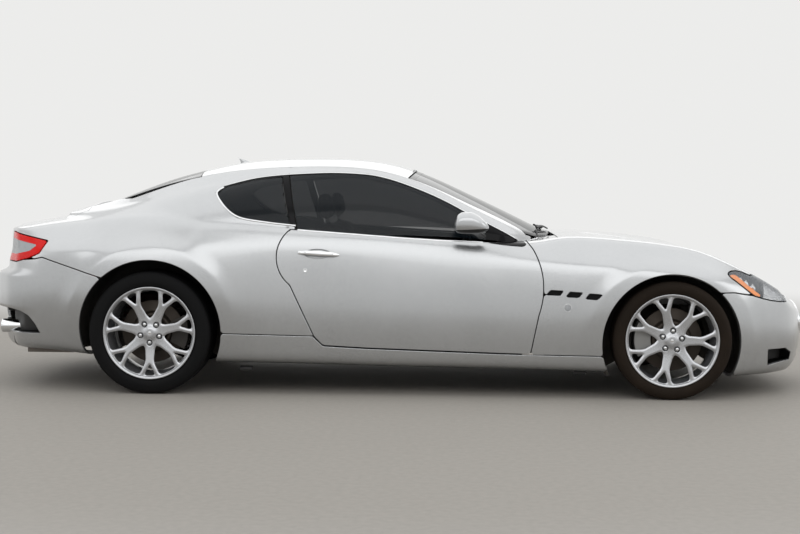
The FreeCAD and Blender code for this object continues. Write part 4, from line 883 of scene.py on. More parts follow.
FINISHES = (
    Finish("silver paint", "paint", (0.46, 0.47, 0.48), (0.51, 0.52, 0.53), 0.80, (0.24, 0.31), 0.9,
           Grain.FLAKE, 1400, 0.004, (0.05, 0.45)),
    Finish("tinted glass", "glass", (0.008, 0.012, 0.016), (0.010, 0.014, 0.018), 0.0, (0.02, 0.03), 0.0,
           Grain.FLAKE, 8, 0.01, alpha=0.60, shine=0.25),
    Finish("windscreen glass", "glass", (0.010, 0.014, 0.016), (0.012, 0.017, 0.018), 0.0, (0.02, 0.03), 0.0,
           Grain.FLAKE, 8, 0.01, alpha=0.78, shine=0.12),
    Finish("glass border", "glass", (0.004, 0.004, 0.005), (0.006, 0.006, 0.007), 0.0, (0.05, 0.09), 0.0,
           Grain.FLAKE, 60, 0.01, shine=0.08),
    Finish("clear lens", "lamp", (0.55, 0.57, 0.60), (0.60, 0.62, 0.64), 0.0, (0.02, 0.03), 0.0, Grain.FLAKE,
           8, 0.01, alpha=0.08, shine=0.3),
    Finish("ribbed lens", "lamp", (0.62, 0.64, 0.66), (0.70, 0.72, 0.74), 0.0, (0.04, 0.08), 0.0,
           Grain.RIBBED, 26, 1.2, alpha=0.45),
    Finish("red lens", "red_lamp", (0.50, 0.004, 0.006), (0.72, 0.014, 0.010), 0.0, (0.05, 0.09), 0.0,
           Grain.RIBBED, 40, 0.4, glow=0.30, shine=0.12),
    Finish("amber lens", "lamp", (0.90, 0.22, 0.005), (1.0, 0.34, 0.01), 0.0, (0.05, 0.09), 0.0,
           Grain.RIBBED, 60, 0.4, glow=0.45, shine=0.12),
    Finish("ribbed reflector", "lamp", (0.78, 0.79, 0.80), (0.60, 0.61, 0.62), 0.7, (0.10, 0.18), 0.0,
           Grain.RIBBED, 34, 2.0),
    Finish("dark lens", "lamp", (0.010, 0.011, 0.013), (0.016, 0.017, 0.020), 0.0, (0.03, 0.05), 1.0,
           Grain.FLAKE, 8, 0.01),
    Finish("polished chrome", "chrome", (0.80, 0.81, 0.82), (0.74, 0.75, 0.76), 1.0, (0.05, 0.10), 0.0,
           Grain.FLAKE, 40, 0.004),
    Finish("bright trim", "chrome", (0.72, 0.73, 0.74), (0.66, 0.67, 0.68), 1.0, (0.14, 0.22), 0.0,
           Grain.FLAKE, 300, 0.006),
    Finish("black trim", "black_plastic", (0.012, 0.012, 0.013), (0.020, 0.020, 0.021), 0.0, (0.22, 0.34),
           0.0, Grain.MOULDED, 900, 0.02, (0.25, 0.4)),
    Finish("gloss black", "black_plastic", (0.006, 0.006, 0.007), (0.010, 0.010, 0.011), 0.0, (0.06, 0.10),
           0.0, Grain.MOULDED, 300, 0.01, shine=0.1),
    Finish("grained plastic", "black_plastic", (0.016, 0.016, 0.017), (0.030, 0.030, 0.031), 0.0,
           (0.48, 0.62), 0.0, Grain.LEATHER, 900, 0.12, (0.3, 0.4)),
    Finish("wiper rubber", "black_plastic", (0.010, 0.010, 0.010), (0.022, 0.022, 0.022), 0.0, (0.45, 0.6),
           0.0, Grain.RUBBER, 400, 0.05),
    Finish("underbody coat", "underbody", (0.020, 0.019, 0.018), (0.045, 0.043, 0.040), 0.0, (0.7, 0.9), 0.0,
           Grain.CAST, 220, 0.4, (0.5, 0.6)),
    # Tyre rubber, on the rear wheels, is darker with thinner dust: painted shade, as the rear wheels stand
    # in shade. The front's brown is dust.
    Finish("tyre rubber", "tyre", (0.005, 0.0055, 0.006), (0.009, 0.009, 0.0095), 0.0, (0.6, 0.8), 0.0,
           Grain.RUBBER, 160, 0.12, (0.12, 0.9), dust_colour=(0.03, 0.026, 0.022), shine=0.12),
    Finish("dusty tyre rubber", "tyre", (0.016, 0.012, 0.009), (0.025, 0.018, 0.013), 0.0, (0.72, 0.88), 0.0,
           Grain.RUBBER, 160, 0.12, (0.35, 0.9), dust_colour=(0.045, 0.031, 0.021), shine=0.12),
    Finish("wheel silver", "wheel_silver", (0.50, 0.51, 0.53), (0.56, 0.57, 0.59), 0.75, (0.24, 0.32), 0.6,
           Grain.FLAKE, 1400, 0.004, (0.06, 0.8)),
    Finish("brake disc", "cast", (0.034, 0.027, 0.021), (0.060, 0.047, 0.037), 0.6, (0.4, 0.6), 0.0,
           Grain.BRUSHED, 900, 0.05),
    Finish("dark cast metal", "cast", (0.030, 0.028, 0.027), (0.060, 0.056, 0.052), 0.4, (0.5, 0.72), 0.0,
           Grain.CAST, 300, 0.3, (0.3, 0.6)),
    Finish("cast alloy", "alloy", (0.26, 0.26, 0.26), (0.36, 0.36, 0.35), 0.8, (0.42, 0.58), 0.0, Grain.CAST,
           300, 0.2, (0.3, 0.6)),
    Finish("seat leather", "seat_leather", (0.030, 0.026, 0.025), (0.052, 0.046, 0.043), 0.0, (0.42, 0.56),
           0.0, Grain.LEATHER, 420, 0.25, sheen=0.15),
    Finish("wheel leather", "steering_leather", (0.014, 0.013, 0.013), (0.026, 0.025, 0.024), 0.0,
           (0.36, 0.5), 0.0, Grain.LEATHER, 700, 0.12, sheen=0.1),
    Finish("headlining", "seat_leather", (0.055, 0.053, 0.050), (0.075, 0.072, 0.068), 0.0, (0.85, 0.95),
           0.0, Grain.WOVEN, 500, 0.1, sheen=0.3),
    Finish("stained steel", "steel", (0.14, 0.13, 0.12), (0.20, 0.18, 0.16), 0.9, (0.4, 0.55), 0.0,
           Grain.CAST, 90, 0.1, (0.3, 0.5), dust_colour=(0.05, 0.042, 0.034)),
    Finish("dark mesh", "black_plastic", (0.008, 0.008, 0.008), (0.016, 0.016, 0.016), 0.0, (0.4, 0.55), 0.0,
           Grain.WOVEN, 160, 1.0),
    Finish("blank plate", "paint", (0.60, 0.60, 0.58), (0.66, 0.66, 0.64), 0.0, (0.35, 0.45), 0.2,
           Grain.MOULDED, 500, 0.02),
)


class Workshop:
    """Hands out finishes, and joins each new piece to its body and nodes."""

    def __init__(self) -> None:
        """Builds every finish."""
        effects = Effects()
        self.finish = {f.name: f for f in FINISHES}
        self.material = {f.name: f.build(effects) for f in FINISHES}

    def fit(self, obj: bpy.types.Object, body: str, *nodes: str) -> bpy.types.Object:
        """Rides a piece on a body in place of CAD nodes, and reports it."""
        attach(obj, body)
        if nodes:
            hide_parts(*nodes)
        log.info("%s on %s: %d faces", obj.name, body, len(obj.data.polygons))
        return obj

    def dress(self, obj: bpy.types.Object, finish: str) -> None:
        """Gives a CAD node's object a finish."""
        obj.data.materials.clear()
        obj.data.materials.append(self.material[finish])


@dataclass
class Bodywork:
    """The painted panels, each cut out of the one outside along the shut lines.

    Attributes:
        form: the car's outside.
        rear_arch, front_arch: centre x, centre z and radius of the wheel arches.
        ridges: for each arch the ridge's radius above the wheel, how much more it is beside it, and the
            angles where it starts, is full, stops being full and is gone.
        roll_off: how far outside the ridge the body rolls over to it.
        flare: how far the arches' edges stand out.
        edge: radius of the panels' turned edges.
        fold: depth of the turned edges.
        cabin_back: x of the seam between roof rail and quarter.
        tail_tuck: how far the tail lies ahead of the bumper's shelf.
        shelf: height where the shelf's top starts to lean in, over what height it does, and how far.
        x_of_tail: the tail's farthest point.
        jack_points: x of the jacking pads.
    """

    shop: Workshop
    form: BodyForm
    rear_arch: tuple = (-1.3745, 0.356, 0.405)
    front_arch: tuple = (1.5675, 0.315, 0.392)
    ridges: tuple = ((0.482, 0.0, 5, 50, 150, 200), (0.449, 0.028, -60, -30, 125, 178))
    roll_off: float = 0.085
    flare: float = 0.011
    edge: float = 0.0028
    fold: float = 0.016
    cabin_back: float = -0.618
    tail_tuck: float = 0.062
    shelf: tuple = (0.575, 0.080, 0.055)
    x_of_tail: float = -2.4420
    jack_points: tuple = (-0.840, 1.060)

    def __post_init__(self) -> None:
        """Raises the arches and the bonnet's ridge on the outside, and closes and shapes its ends."""
        form = self.form
        half = form.place(form.outer_radius)[:, :form.angles]
        x, y, z = half[..., 0], np.abs(half[..., 1]), half[..., 2]
        rise = np.zeros_like(x)
        for (cx, cz, _), (ridge, spread, low, full, end, none) in zip((self.rear_arch, self.front_arch),
                                                                      self.ridges):
            around = np.degrees(np.arctan2(z - cz, x - cx))
            around = np.where(around < -90, around + 360, around)
            edge = ridge + spread * np.cos(np.radians(around)) ** 2
            beyond = (np.hypot(x - cx, z - cz) - edge) / self.roll_off
            past = 0.5 * (beyond + np.hypot(beyond, 0.07))
            amount = smooth_step(low, full, around) * smooth_step(none, end, around)
            amount = amount * smooth_step(0.70, 0.82, y)
            rise += self.flare * np.clip(1 - past, 0, 1) ** 2 * amount
        ridge = smooth_step(0.95, 1.15, x) * smooth_step(2.32, 2.1, x) * (z > 0.4)
        rise += 0.005 * ridge * np.exp(-(y / 0.035) ** 2)
        points = form.place(form.outer_radius + rise)
        centre = points[:, :1] * 0
        centre[:, 0, 0], centre[:, 0, 2] = form.x, form.centre
        tail = [centre[:1] + (points[:1] - centre[:1]) * s - np.array([0.0015 * (1 - s), 0, 0])
                for s in (0.02, 0.15, 0.28, 0.41, 0.54, 0.67, 0.79, 0.90)]
        nose = [centre[-1:] + (points[-1:] - centre[-1:]) * s + np.array([0.0015 * (1 - s), 0, 0])
                for s in (0.7, 0.35, 0.02)]
        self.points = np.concatenate(tail + [points] + nose)
        self.shape_tail()
        self.normals = form.normals_of(self.points)
        spread = form.whole(form.crease)
        self.crease = np.concatenate([spread[:1]] * len(tail) + [spread] + [spread[-1:]] * len(nose))
        self.x = np.concatenate([[form.x[0]] * len(tail), form.x, [form.x[-1]] * len(nose)])
        self.cabin = form.place(form.cabin_radius)

    def shape_tail(self) -> None:
        """Tucks the tail in above and below the bumper's shelf, and keeps the shelf level across."""
        x, z = self.points[..., 0], self.points[..., 2]
        above_shelf = smooth_step(0.655, 0.700, z) * (1 - 0.45 * smooth_step(0.78, 0.93, z))
        below = 0.75 * smooth_step(0.478, 0.440, z)
        x += self.tail_tuck * (above_shelf + below) * smooth_step(-2.00, -2.34, x)
        slope = np.clip((z - self.shelf[0]) / self.shelf[1], 0, 1) ** 1.5
        x[:] = np.maximum(x, self.x_of_tail + self.shelf[2] * slope)

    def rows(self, low: float, high: float) -> slice:
        """The grid's rows between two stations."""
        return slice(max(int(np.searchsorted(self.x, low)) - 2, 0), int(np.searchsorted(self.x, high)) + 3)

    def window(self, low: float, high: float, right: bool) -> dict:
        """Points, normals, crease and coordinates of a stretch, one side or both."""
        rows, cols = self.rows(low, high), slice(0, self.form.angles) if right else slice(None)
        points = self.points[rows, cols]
        return {"p": points, "n": self.normals[rows, cols], "crease": self.crease[rows, cols],
                "x": points[..., 0], "y": points[..., 1], "z": points[..., 2]}

    @staticmethod
    def side(w: dict, line: np.ndarray) -> np.ndarray:
        """Distance from an outline of the side view."""
        return outline_distance(w["x"], w["z"], line)

    @staticmethod
    def plan(w: dict, line: np.ndarray) -> np.ndarray:
        """Distance from an outline of the plan."""
        return outline_distance(w["x"], w["y"], line)

    @staticmethod
    def arch(w: dict, arch: tuple) -> np.ndarray:
        """Distance from a wheel arch's circle."""
        return np.hypot(w["x"] - arch[0], w["z"] - arch[1]) - arch[2]

    def skin(self, w: dict, *cuts: np.ndarray, soft: tuple = (), edge: float = 0.0,
             fold: float = 0.0) -> tuple:
        """A turned-edge skin from a window: inside every cut, with plain seams along the soft ones."""
        hard = np.maximum.reduce(list(cuts))
        keep = np.maximum.reduce([hard] + list(soft))
        return rimmed(Patch(w["p"], w["n"], keep, list(soft), hard), edge or self.edge, fold or self.fold)

    def paint(self, name: str, body: str, skin: tuple, *nodes: str,
              finish: str = "silver paint") -> bpy.types.Object:
        """Makes a skin a piece."""
        points, normals, faces = skin
        obj = mesh_object(name, points, faces, self.shop.material[finish], normals)
        return self.shop.fit(obj, body, *nodes)

    def both_sides(self, name: str, body: str, skin: tuple, node: str, finish: str = "silver paint") -> None:
        """A skin of the right side and its mirror image, as two pieces; {} takes the side's word."""
        for side in Side:
            here = skin if side is Side.RIGHT else mirrored(skin)
            nodes = [node.format(side.word)] if node else []
            self.paint(name.format(side.word), body.format(side.word), here, *nodes, finish=finish)

    def build(self) -> None:
        """Makes every panel."""
        self.doors()
        self.wings()
        self.quarters()
        self.roof()
        self.lids()
        self.bumpers()
        self.sills()

    def doors(self) -> None:
        """The doors: below the crease, inside the door's line."""
        w = self.window(-0.68, 0.86, True)
        self.both_sides("door_skin_{}", "door_{}", self.skin(w, self.side(w, DOOR), -w["crease"],
                                                             -handle_cup(w)), "door_{}")

    def wings(self) -> None:
        """The front wings, with their three vents."""
        w = self.window(0.68, 2.30, True)
        cuts = [SHUT_GAP - self.side(w, DOOR), SHUT_GAP - self.side(w, FRONT_BUMPER),
                SHUT_GAP - self.plan(w, BONNET), SHUT_GAP - self.side(w, SILL),
                -self.arch(w, self.front_arch), SHUT_GAP - self.side(w, HEADLAMP), -w["crease"],
                0.70 - w["x"], 0.435 + w["y"], 0.2 - w["z"]]
        for vent in VENTS:
            cuts.append(np.where(w["y"] < -0.8, -self.side(w, vent), -1.0))
        self.both_sides("wing_skin_{}", "chassis", self.skin(w, *cuts), "wing_{}")

    def quarters(self) -> None:
        """The rear quarters, up over the pillars to the roof's line."""
        w = self.window(-2.42, -0.38, True)
        split = w["x"] - self.cabin_back
        cuts = [SHUT_GAP - self.side(w, DOOR), SHUT_GAP - self.side(w, REAR_BUMPER),
                0.002 - self.side(w, SIDE_WINDOWS), SHUT_GAP - self.side(w, SILL),
                -self.arch(w, self.rear_arch), SHUT_GAP - self.side(w, TAIL_LAMP),
                SHUT_GAP - self.plan(w, BOOT_LID), SHUT_GAP - self.plan(w, REAR_WINDOW), w["x"] + 0.40,
                0.44 + w["y"], 0.18 - w["z"]]
        roof = np.where(w["z"] > 1.1, self.roof_line(w) * -1, -1.0)
        above = np.where(w["z"] > 1.1, split, -1.0)
        self.both_sides("quarter_skin_{}", "chassis", self.skin(w, *cuts, soft=(roof, above)), "quarter_{}")

    @staticmethod
    def roof_line(w: dict) -> np.ndarray:
        """Distance outside the roof's side seam: |y| less the seam's y at each x."""
        line = np.array(ROOF_SIDE, dtype=float)[::-1] * MM
        return np.abs(w["y"]) - np.interp(w["x"], line[:, 0], line[:, 1])

    def roof(self) -> None:
        """The roof panel and the rails down the windscreen pillars."""
        w = self.window(-1.22, 0.16, False)
        cuts = [SHUT_GAP - self.plan(w, WINDSCREEN), SHUT_GAP - self.plan(w, REAR_WINDOW), 1.0 - w["z"],
                -1.16 - w["x"]]
        self.paint("roof_skin", "chassis", self.skin(w, *cuts, soft=(self.roof_line(w),)), "roof_panel")
        w = self.window(-0.66, 0.84, True)
        roof = np.where(w["x"] < 0.075, -self.roof_line(w), -1.0)
        cuts = [0.002 - self.side(w, SIDE_WINDOWS), SHUT_GAP - self.plan(w, WINDSCREEN), w["crease"],
                0.86 - w["z"]]
        self.both_sides("roof_rail_skin_{}", "chassis",
                        self.skin(w, *cuts, soft=(roof, self.cabin_back - w["x"])), "roof_rail_{}")

    def lids(self) -> None:
        """The bonnet and the boot lid."""
        w = self.window(0.90, 2.42, False)
        self.paint("bonnet_skin", "bonnet", self.skin(w, self.plan(w, BONNET), 0.42 - w["z"]), "bonnet")
        w = self.window(-2.46, -1.78, False)
        self.paint("boot_lid_skin", "boot_lid", self.skin(w, self.plan(w, BOOT_LID), 0.665 - w["z"]),
                   "boot_lid")

    def bumpers(self) -> None:
        """The two bumpers with their openings."""
        w = self.window(1.66, 2.5, False)
        side_intakes = np.where(np.abs(w["y"]) > 0.47, -self.side(w, SIDE_INTAKE), -1.0)
        front = np.where(w["x"] > 2.15, 1.0, 0.0)
        grille = np.where(front > 0, -outline_distance(w["y"], w["z"], GRILLE), -1.0)
        middle = np.where(front > 0, -outline_distance(w["y"], w["z"], MIDDLE_INTAKE), -1.0)
        lid = np.where(w["z"] > 0.42, SHUT_GAP - self.plan(w, BONNET), -1.0)
        cuts = [self.side(w, FRONT_BUMPER), -self.arch(w, self.front_arch),
                SHUT_GAP - self.side(w, HEADLAMP), lid, side_intakes, grille, middle]
        self.paint("front_bumper_skin", "chassis", self.skin(w, *cuts), "front_bumper")
        w = self.window(-2.6, -1.56, False)
        lid = np.minimum(SHUT_GAP - self.plan(w, BOOT_LID), w["z"] - 0.6585)
        bay = np.where(np.abs(w["y"]) > 0.43, -self.side(w, EXHAUST_BAY), -1.0)
        under = np.minimum.reduce([0.68 - np.abs(w["y"]), w["x"] + 2.225, 0.4 - w["z"]])
        lamp = np.where(np.abs(w["y"]) > 0.4, SHUT_GAP - self.side(w, TAIL_LAMP), -1.0)
        cuts = [self.side(w, REAR_BUMPER), -self.arch(w, self.rear_arch), lamp, lid, bay, under]
        self.paint("rear_bumper_skin", "chassis", self.skin(w, *cuts), "rear_bumper")

    def sills(self) -> None:
        """The sills below the doors."""
        w = self.window(-1.2, 1.4, True)
        cuts = [self.side(w, SILL), -self.arch(w, self.rear_arch), -self.arch(w, self.front_arch),
                0.668 + w["y"], SHUT_GAP - self.side(w, DOOR)]
        right = self.skin(w, *cuts)
        self.paint("sill_skins", "chassis", join_skins(right, mirrored(right)), "sills")
        pads = []
        for x in self.jack_points:
            for y in (-0.790, 0.790):
                block = four_cornered(0.035, -0.020, 0.035, 0.020, 0.006)
                rings = ((0.150, 0.01), (0.150, 1.0), (0.130, 1.0), (0.128, 0.94), (0.128, 0.01))
                pads.append(np.stack([np.stack([x + block[:, 0] * s, y + block[:, 1] * s,
                                                np.full(len(block), z)], axis=1) for z, s in rings]))
        points, _, faces = many(pads, False, True)
        obj = tidy_normals(mesh_object("jack_pads", points, faces, self.shop.material["wiper rubber"]))
        self.shop.fit(obj, "chassis")


def closed_pane(patch: Patch, thick: float) -> tuple:
    """A sheet of even thickness: the clipped skin, the same skin inside it, and a wall between."""
    points, normals, _, faces = clip_patch(patch)
    points, (normals,), faces = weld(points, [normals], faces)
    normals = unit(normals)
    count = len(points)
    edges = boundary_of(faces)
    wall = np.stack([edges[:, 1], edges[:, 0], edges[:, 0] + count, edges[:, 1] + count], axis=1)
    return (np.concatenate([points, points - normals * thick]), np.concatenate([normals, -normals]),
            faces + [f[:, ::-1] + count for f in faces] + [wall])


def shifted(w: dict, inwards: float) -> dict:
    """The same window of the surface, moved in along its normals."""
    return {**w, "p": w["p"] - w["n"] * inwards}


class Fitter:
    """Shared ways of making a fitting on the right side and its mirror image."""

    def __init__(self, shop: Workshop, skin: Bodywork) -> None:
        """Keeps the workshop and the bodywork."""
        self.shop = shop
        self.skin = skin

    def surface_at(self, x: float, z: float) -> tuple:
        """The outside's place and direction on the right side at an x and z of the side view."""
        w = self.skin.window(x - 0.03, x + 0.03, True)
        away = (w["x"] - x) ** 2 + (w["z"] - z) ** 2 + np.where(w["n"][..., 1] > -0.02, 1.0, 0.0)
        row, col = np.unravel_index(int(np.argmin(away)), away.shape)
        normal = w["n"][row, col]
        place = w["p"][row, col]
        flat = np.array([x - place[0], 0.0, z - place[2]])
        place = place + flat - np.array([0.0, (flat @ normal) / normal[1], 0.0])
        return place, normal

    def one(self, name: str, body: str, shape: tuple, finish: str, *nodes: str, tidy: bool = False) -> None:
        """A shape of points, directions or None, and faces, as it is."""
        points, normals, faces = shape
        obj = mesh_object(name, points, faces, self.shop.material[finish], normals)
        if tidy:
            tidy_normals(obj)
        self.shop.fit(obj, body, *nodes)

    def merged(self, name: str, body: str, shape: tuple, finish: str, *nodes: str,
               tidy: bool = False) -> None:
        """A shape of the right side with its mirror image, as one piece."""
        self.one(name, body, join_skins(shape, mirrored(shape)), finish, *nodes, tidy=tidy)

    def pair(self, name: str, body: str, shape: tuple, finish: str, node: str = "",
             tidy: bool = False) -> None:
        """A shape of the right side and its mirror image, as two pieces; {} takes the side's word."""
        for side in Side:
            here = shape if side is Side.RIGHT else mirrored(shape)
            nodes = [node.format(side.word)] if node else []
            self.one(name.format(side.word), body.format(side.word), here, finish, *nodes, tidy=tidy)


class Glasshouse(Fitter):
    """Panes, their black borders, the pillar trims and the bright strips round the side windows."""

    sunk: float = 0.004
    pane: float = 0.004
    border: float = 0.0006
    side_border: float = 0.013
    reveal: float = 0.003
    sail_at: float = 0.52
    belt_strip: float = 0.0065
    quarter_strip: float = 0.0055
    rail_strip: float = 0.0032

    def window(self, low: float, high: float, right: bool) -> dict:
        """A stretch of the cabin's surface."""
        form = self.skin.form
        rows = slice(int(np.searchsorted(form.x, low)), int(np.searchsorted(form.x, high)) + 1)
        cols = slice(form.angles // 2, form.angles) if right else slice(form.angles // 2, None)
        grid = self.skin.cabin
        points = grid[rows, cols]
        crease = form.whole(form.crease)[rows, cols]
        return {"p": points, "n": form.normals_of(grid)[rows, cols], "crease": crease, "x": points[..., 0],
                "y": points[..., 1], "z": points[..., 2]}

    @staticmethod
    def sheet(w: dict, thick: float, *cuts: np.ndarray) -> tuple:
        """A closed sheet cut from a window."""
        keep = np.maximum.reduce([*cuts, 0.84 - w["z"]])
        return closed_pane(Patch(w["p"], w["n"], keep), thick)

    def build(self) -> None:
        """Makes everything round the cabin's openings."""
        self.side_windows()
        self.screens()
        self.strips()

    def side_windows(self) -> None:
        """Door panes, rear side panes, the black pillar between them and the black sail with its foot."""
        w = self.window(-1.06, 0.76, True)
        pane = shifted(w, self.sunk)
        door, rear, whole = (Bodywork.side(w, line) for line in (SIDE_GLASS, REAR_SIDE_GLASS, SIDE_WINDOWS))
        low = w["crease"] - 0.02
        panes = self.sheet(pane, self.pane, door + self.reveal, low, w["x"] - self.sail_at)
        self.pair("door_pane_{}", "door_{}", panes, "tinted glass", "door_glass_{}")
        sail = self.sheet(shifted(w, 0.002), 0.008, door + self.reveal, low, self.sail_at + 0.001 - w["x"])
        self.pair("mirror_sail_{}", "door_{}", sail, "gloss black")
        low_skin = self.skin.window(0.46, 0.80, True)
        foot = shifted(low_skin, -0.0012)
        keep = np.maximum(Bodywork.side(low_skin, SAIL_FOOT), -low_skin["crease"])
        foot = closed_pane(Patch(foot["p"], foot["n"], keep), 0.002)
        self.pair("sail_foot_{}", "door_{}", foot, "gloss black")
        rear_pane = self.sheet(pane, self.pane, rear + self.reveal)
        self.merged("rear_side_panes", "chassis", rear_pane, "tinted glass", "rear_side_glass")
        pillar = self.sheet(shifted(w, 0.0015), 0.012, whole + self.reveal, low, 0.004 - door, 0.002 - rear)
        self.pair("pillar_trim_{}", "chassis", pillar, "gloss black")
        rim = np.maximum(rear, -self.side_border - rear) + self.reveal
        border = self.sheet(shifted(w, self.sunk - 0.0008), self.border, rim)
        self.pair("rear_side_border_{}", "chassis", border, "glass border")

    def screens(self) -> None:
        """The windscreen and the rear window, each with its black border."""
        for name, node, line, low, high, finish, deep in (
                ("windscreen_pane", "windscreen", WINDSCREEN, 0.0, 0.95, "windscreen glass", 0.030),
                ("rear_window_pane", "rear_window", REAR_WINDOW, -1.84, -1.10, "tinted glass", 0.036)):
            w = self.window(low, high, False)
            inside = Bodywork.plan(w, line) + self.reveal
            over = w["crease"] - 0.03 if line is WINDSCREEN else inside
            self.one(name, "chassis", self.sheet(shifted(w, self.sunk), self.pane, inside, over), finish,
                     node)
            rim = np.maximum(inside, -deep - inside)
            border = self.sheet(shifted(w, self.sunk - 0.0008), self.border, rim, over)
            self.one(name + "_border", "chassis", border, "glass border")

    def on_surface(self, x: np.ndarray, z: np.ndarray) -> tuple:
        """Points and normals of the cabin's right side at given x and z."""
        form = self.skin.form
        grid = self.skin.cabin[:, :form.angles]
        normals = form.normals_of(self.skin.cabin)[:, :form.angles]
        row = np.clip(np.searchsorted(form.x, x) - 1, 0, len(form.x) - 2)
        share = ((x - form.x[row]) / (form.x[row + 1] - form.x[row]))[:, None, None]
        points = grid[row] * (1 - share) + grid[row + 1] * share
        ways = normals[row] * (1 - share) + normals[row + 1] * share
        start = form.angles // 2
        out, out_ways = [], []
        for k in range(len(x)):
            high = np.maximum.accumulate(points[k, start:, 2])
            at = np.interp(z[k], high, np.arange(len(high)))
            a, b = int(at), min(int(at) + 1, len(high) - 1)
            out.append(points[k, start + a] * (1 - at + a) + points[k, start + b] * (at - a))
            out_ways.append(ways[k, start + a])
        return np.array(out), unit(np.array(out_ways))

    def belt(self, x: np.ndarray) -> tuple:
        """Points on the crease between body and cabin on the right side, with outward directions."""
        form = self.skin.form
        grid = form.place(form.body_radius)
        normals = form.normals_of(grid)
        out, ways = [], []
        for at in x:
            row = int(np.clip(np.searchsorted(form.x, at), 1, len(form.x) - 1))
            crease = form.crease[row]
            start = form.angles // 3
            col = start + int(np.argmax(crease[start:] < 0))
            a, b = crease[col - 1], crease[col]
            s = a / (a - b)
            here = grid[row, col - 1] * (1 - s) + grid[row, col] * s
            here[0] = at
            out.append(here)
            ways.append(normals[row, col - 2] + np.array([0, -0.6, 0.3]))
        smooth = soften(np.array(out), 2)
        smooth[:, 0] = x
        return smooth, unit(np.array(ways))

    def strips(self) -> None:
        """Bright strips along the belt, over the windows and round the rear pane's back."""
        half = np.array([(-1.0, 0.0), (-0.75, 0.45), (0.0, 0.6), (0.75, 0.45), (1.0, 0.0), (0.9, -0.6),
                         (-0.9, -0.6)])
        path, ways = self.belt(np.linspace(-0.545, 0.505, 150))
        self.strip("belt_strip_door_{}", "door_{}", path, ways, half * self.belt_strip)
        back = np.array([(-555, 958), (-660, 968), (-767, 981), (-830, 990), (-880, 1002), (-925, 1025),
                         (-965, 1058), (-1000, 1098), (-1022, 1128), (-1028, 1143), (-1016, 1156),
                         (-990, 1172)]) * MM
        over = np.array([(-990, 1180), (-880, 1211), (-787, 1231), (-655, 1246), (-500, 1256), (-355, 1261),
                         (-157, 1252), (-50, 1232), (41, 1204), (140, 1168), (239, 1127), (340, 1078),
                         (437, 1025), (520, 984), (603, 943), (655, 915), (697, 888)]) * MM
        for name, line, size in (("quarter_strip_{}", back, self.quarter_strip),
                                 ("rail_strip_{}", over, self.rail_strip)):
            steps = np.concatenate([[0], np.cumsum(np.hypot(*np.diff(line, axis=0).T))])
            fine = np.linspace(0, steps[-1], 160)
            flat = soften(monotone_curve(steps, line, fine), 3)
            path, ways = self.on_surface(flat[:, 0], flat[:, 1])
            self.strip(name, "chassis", path, ways, half * size)

    def strip(self, name: str, body: str, path: np.ndarray, ways: np.ndarray, profile: np.ndarray) -> None:
        """A strip of the right side and its mirror image."""
        for side in Side:
            flip = np.array([1.0, 1.0 if side is Side.RIGHT else -1.0, 1.0])
            obj = sweep_object(name.format(side.word), path * flip, profile, ways * flip,
                               self.shop.material["bright trim"])
            self.shop.fit(obj, body.format(side.word))


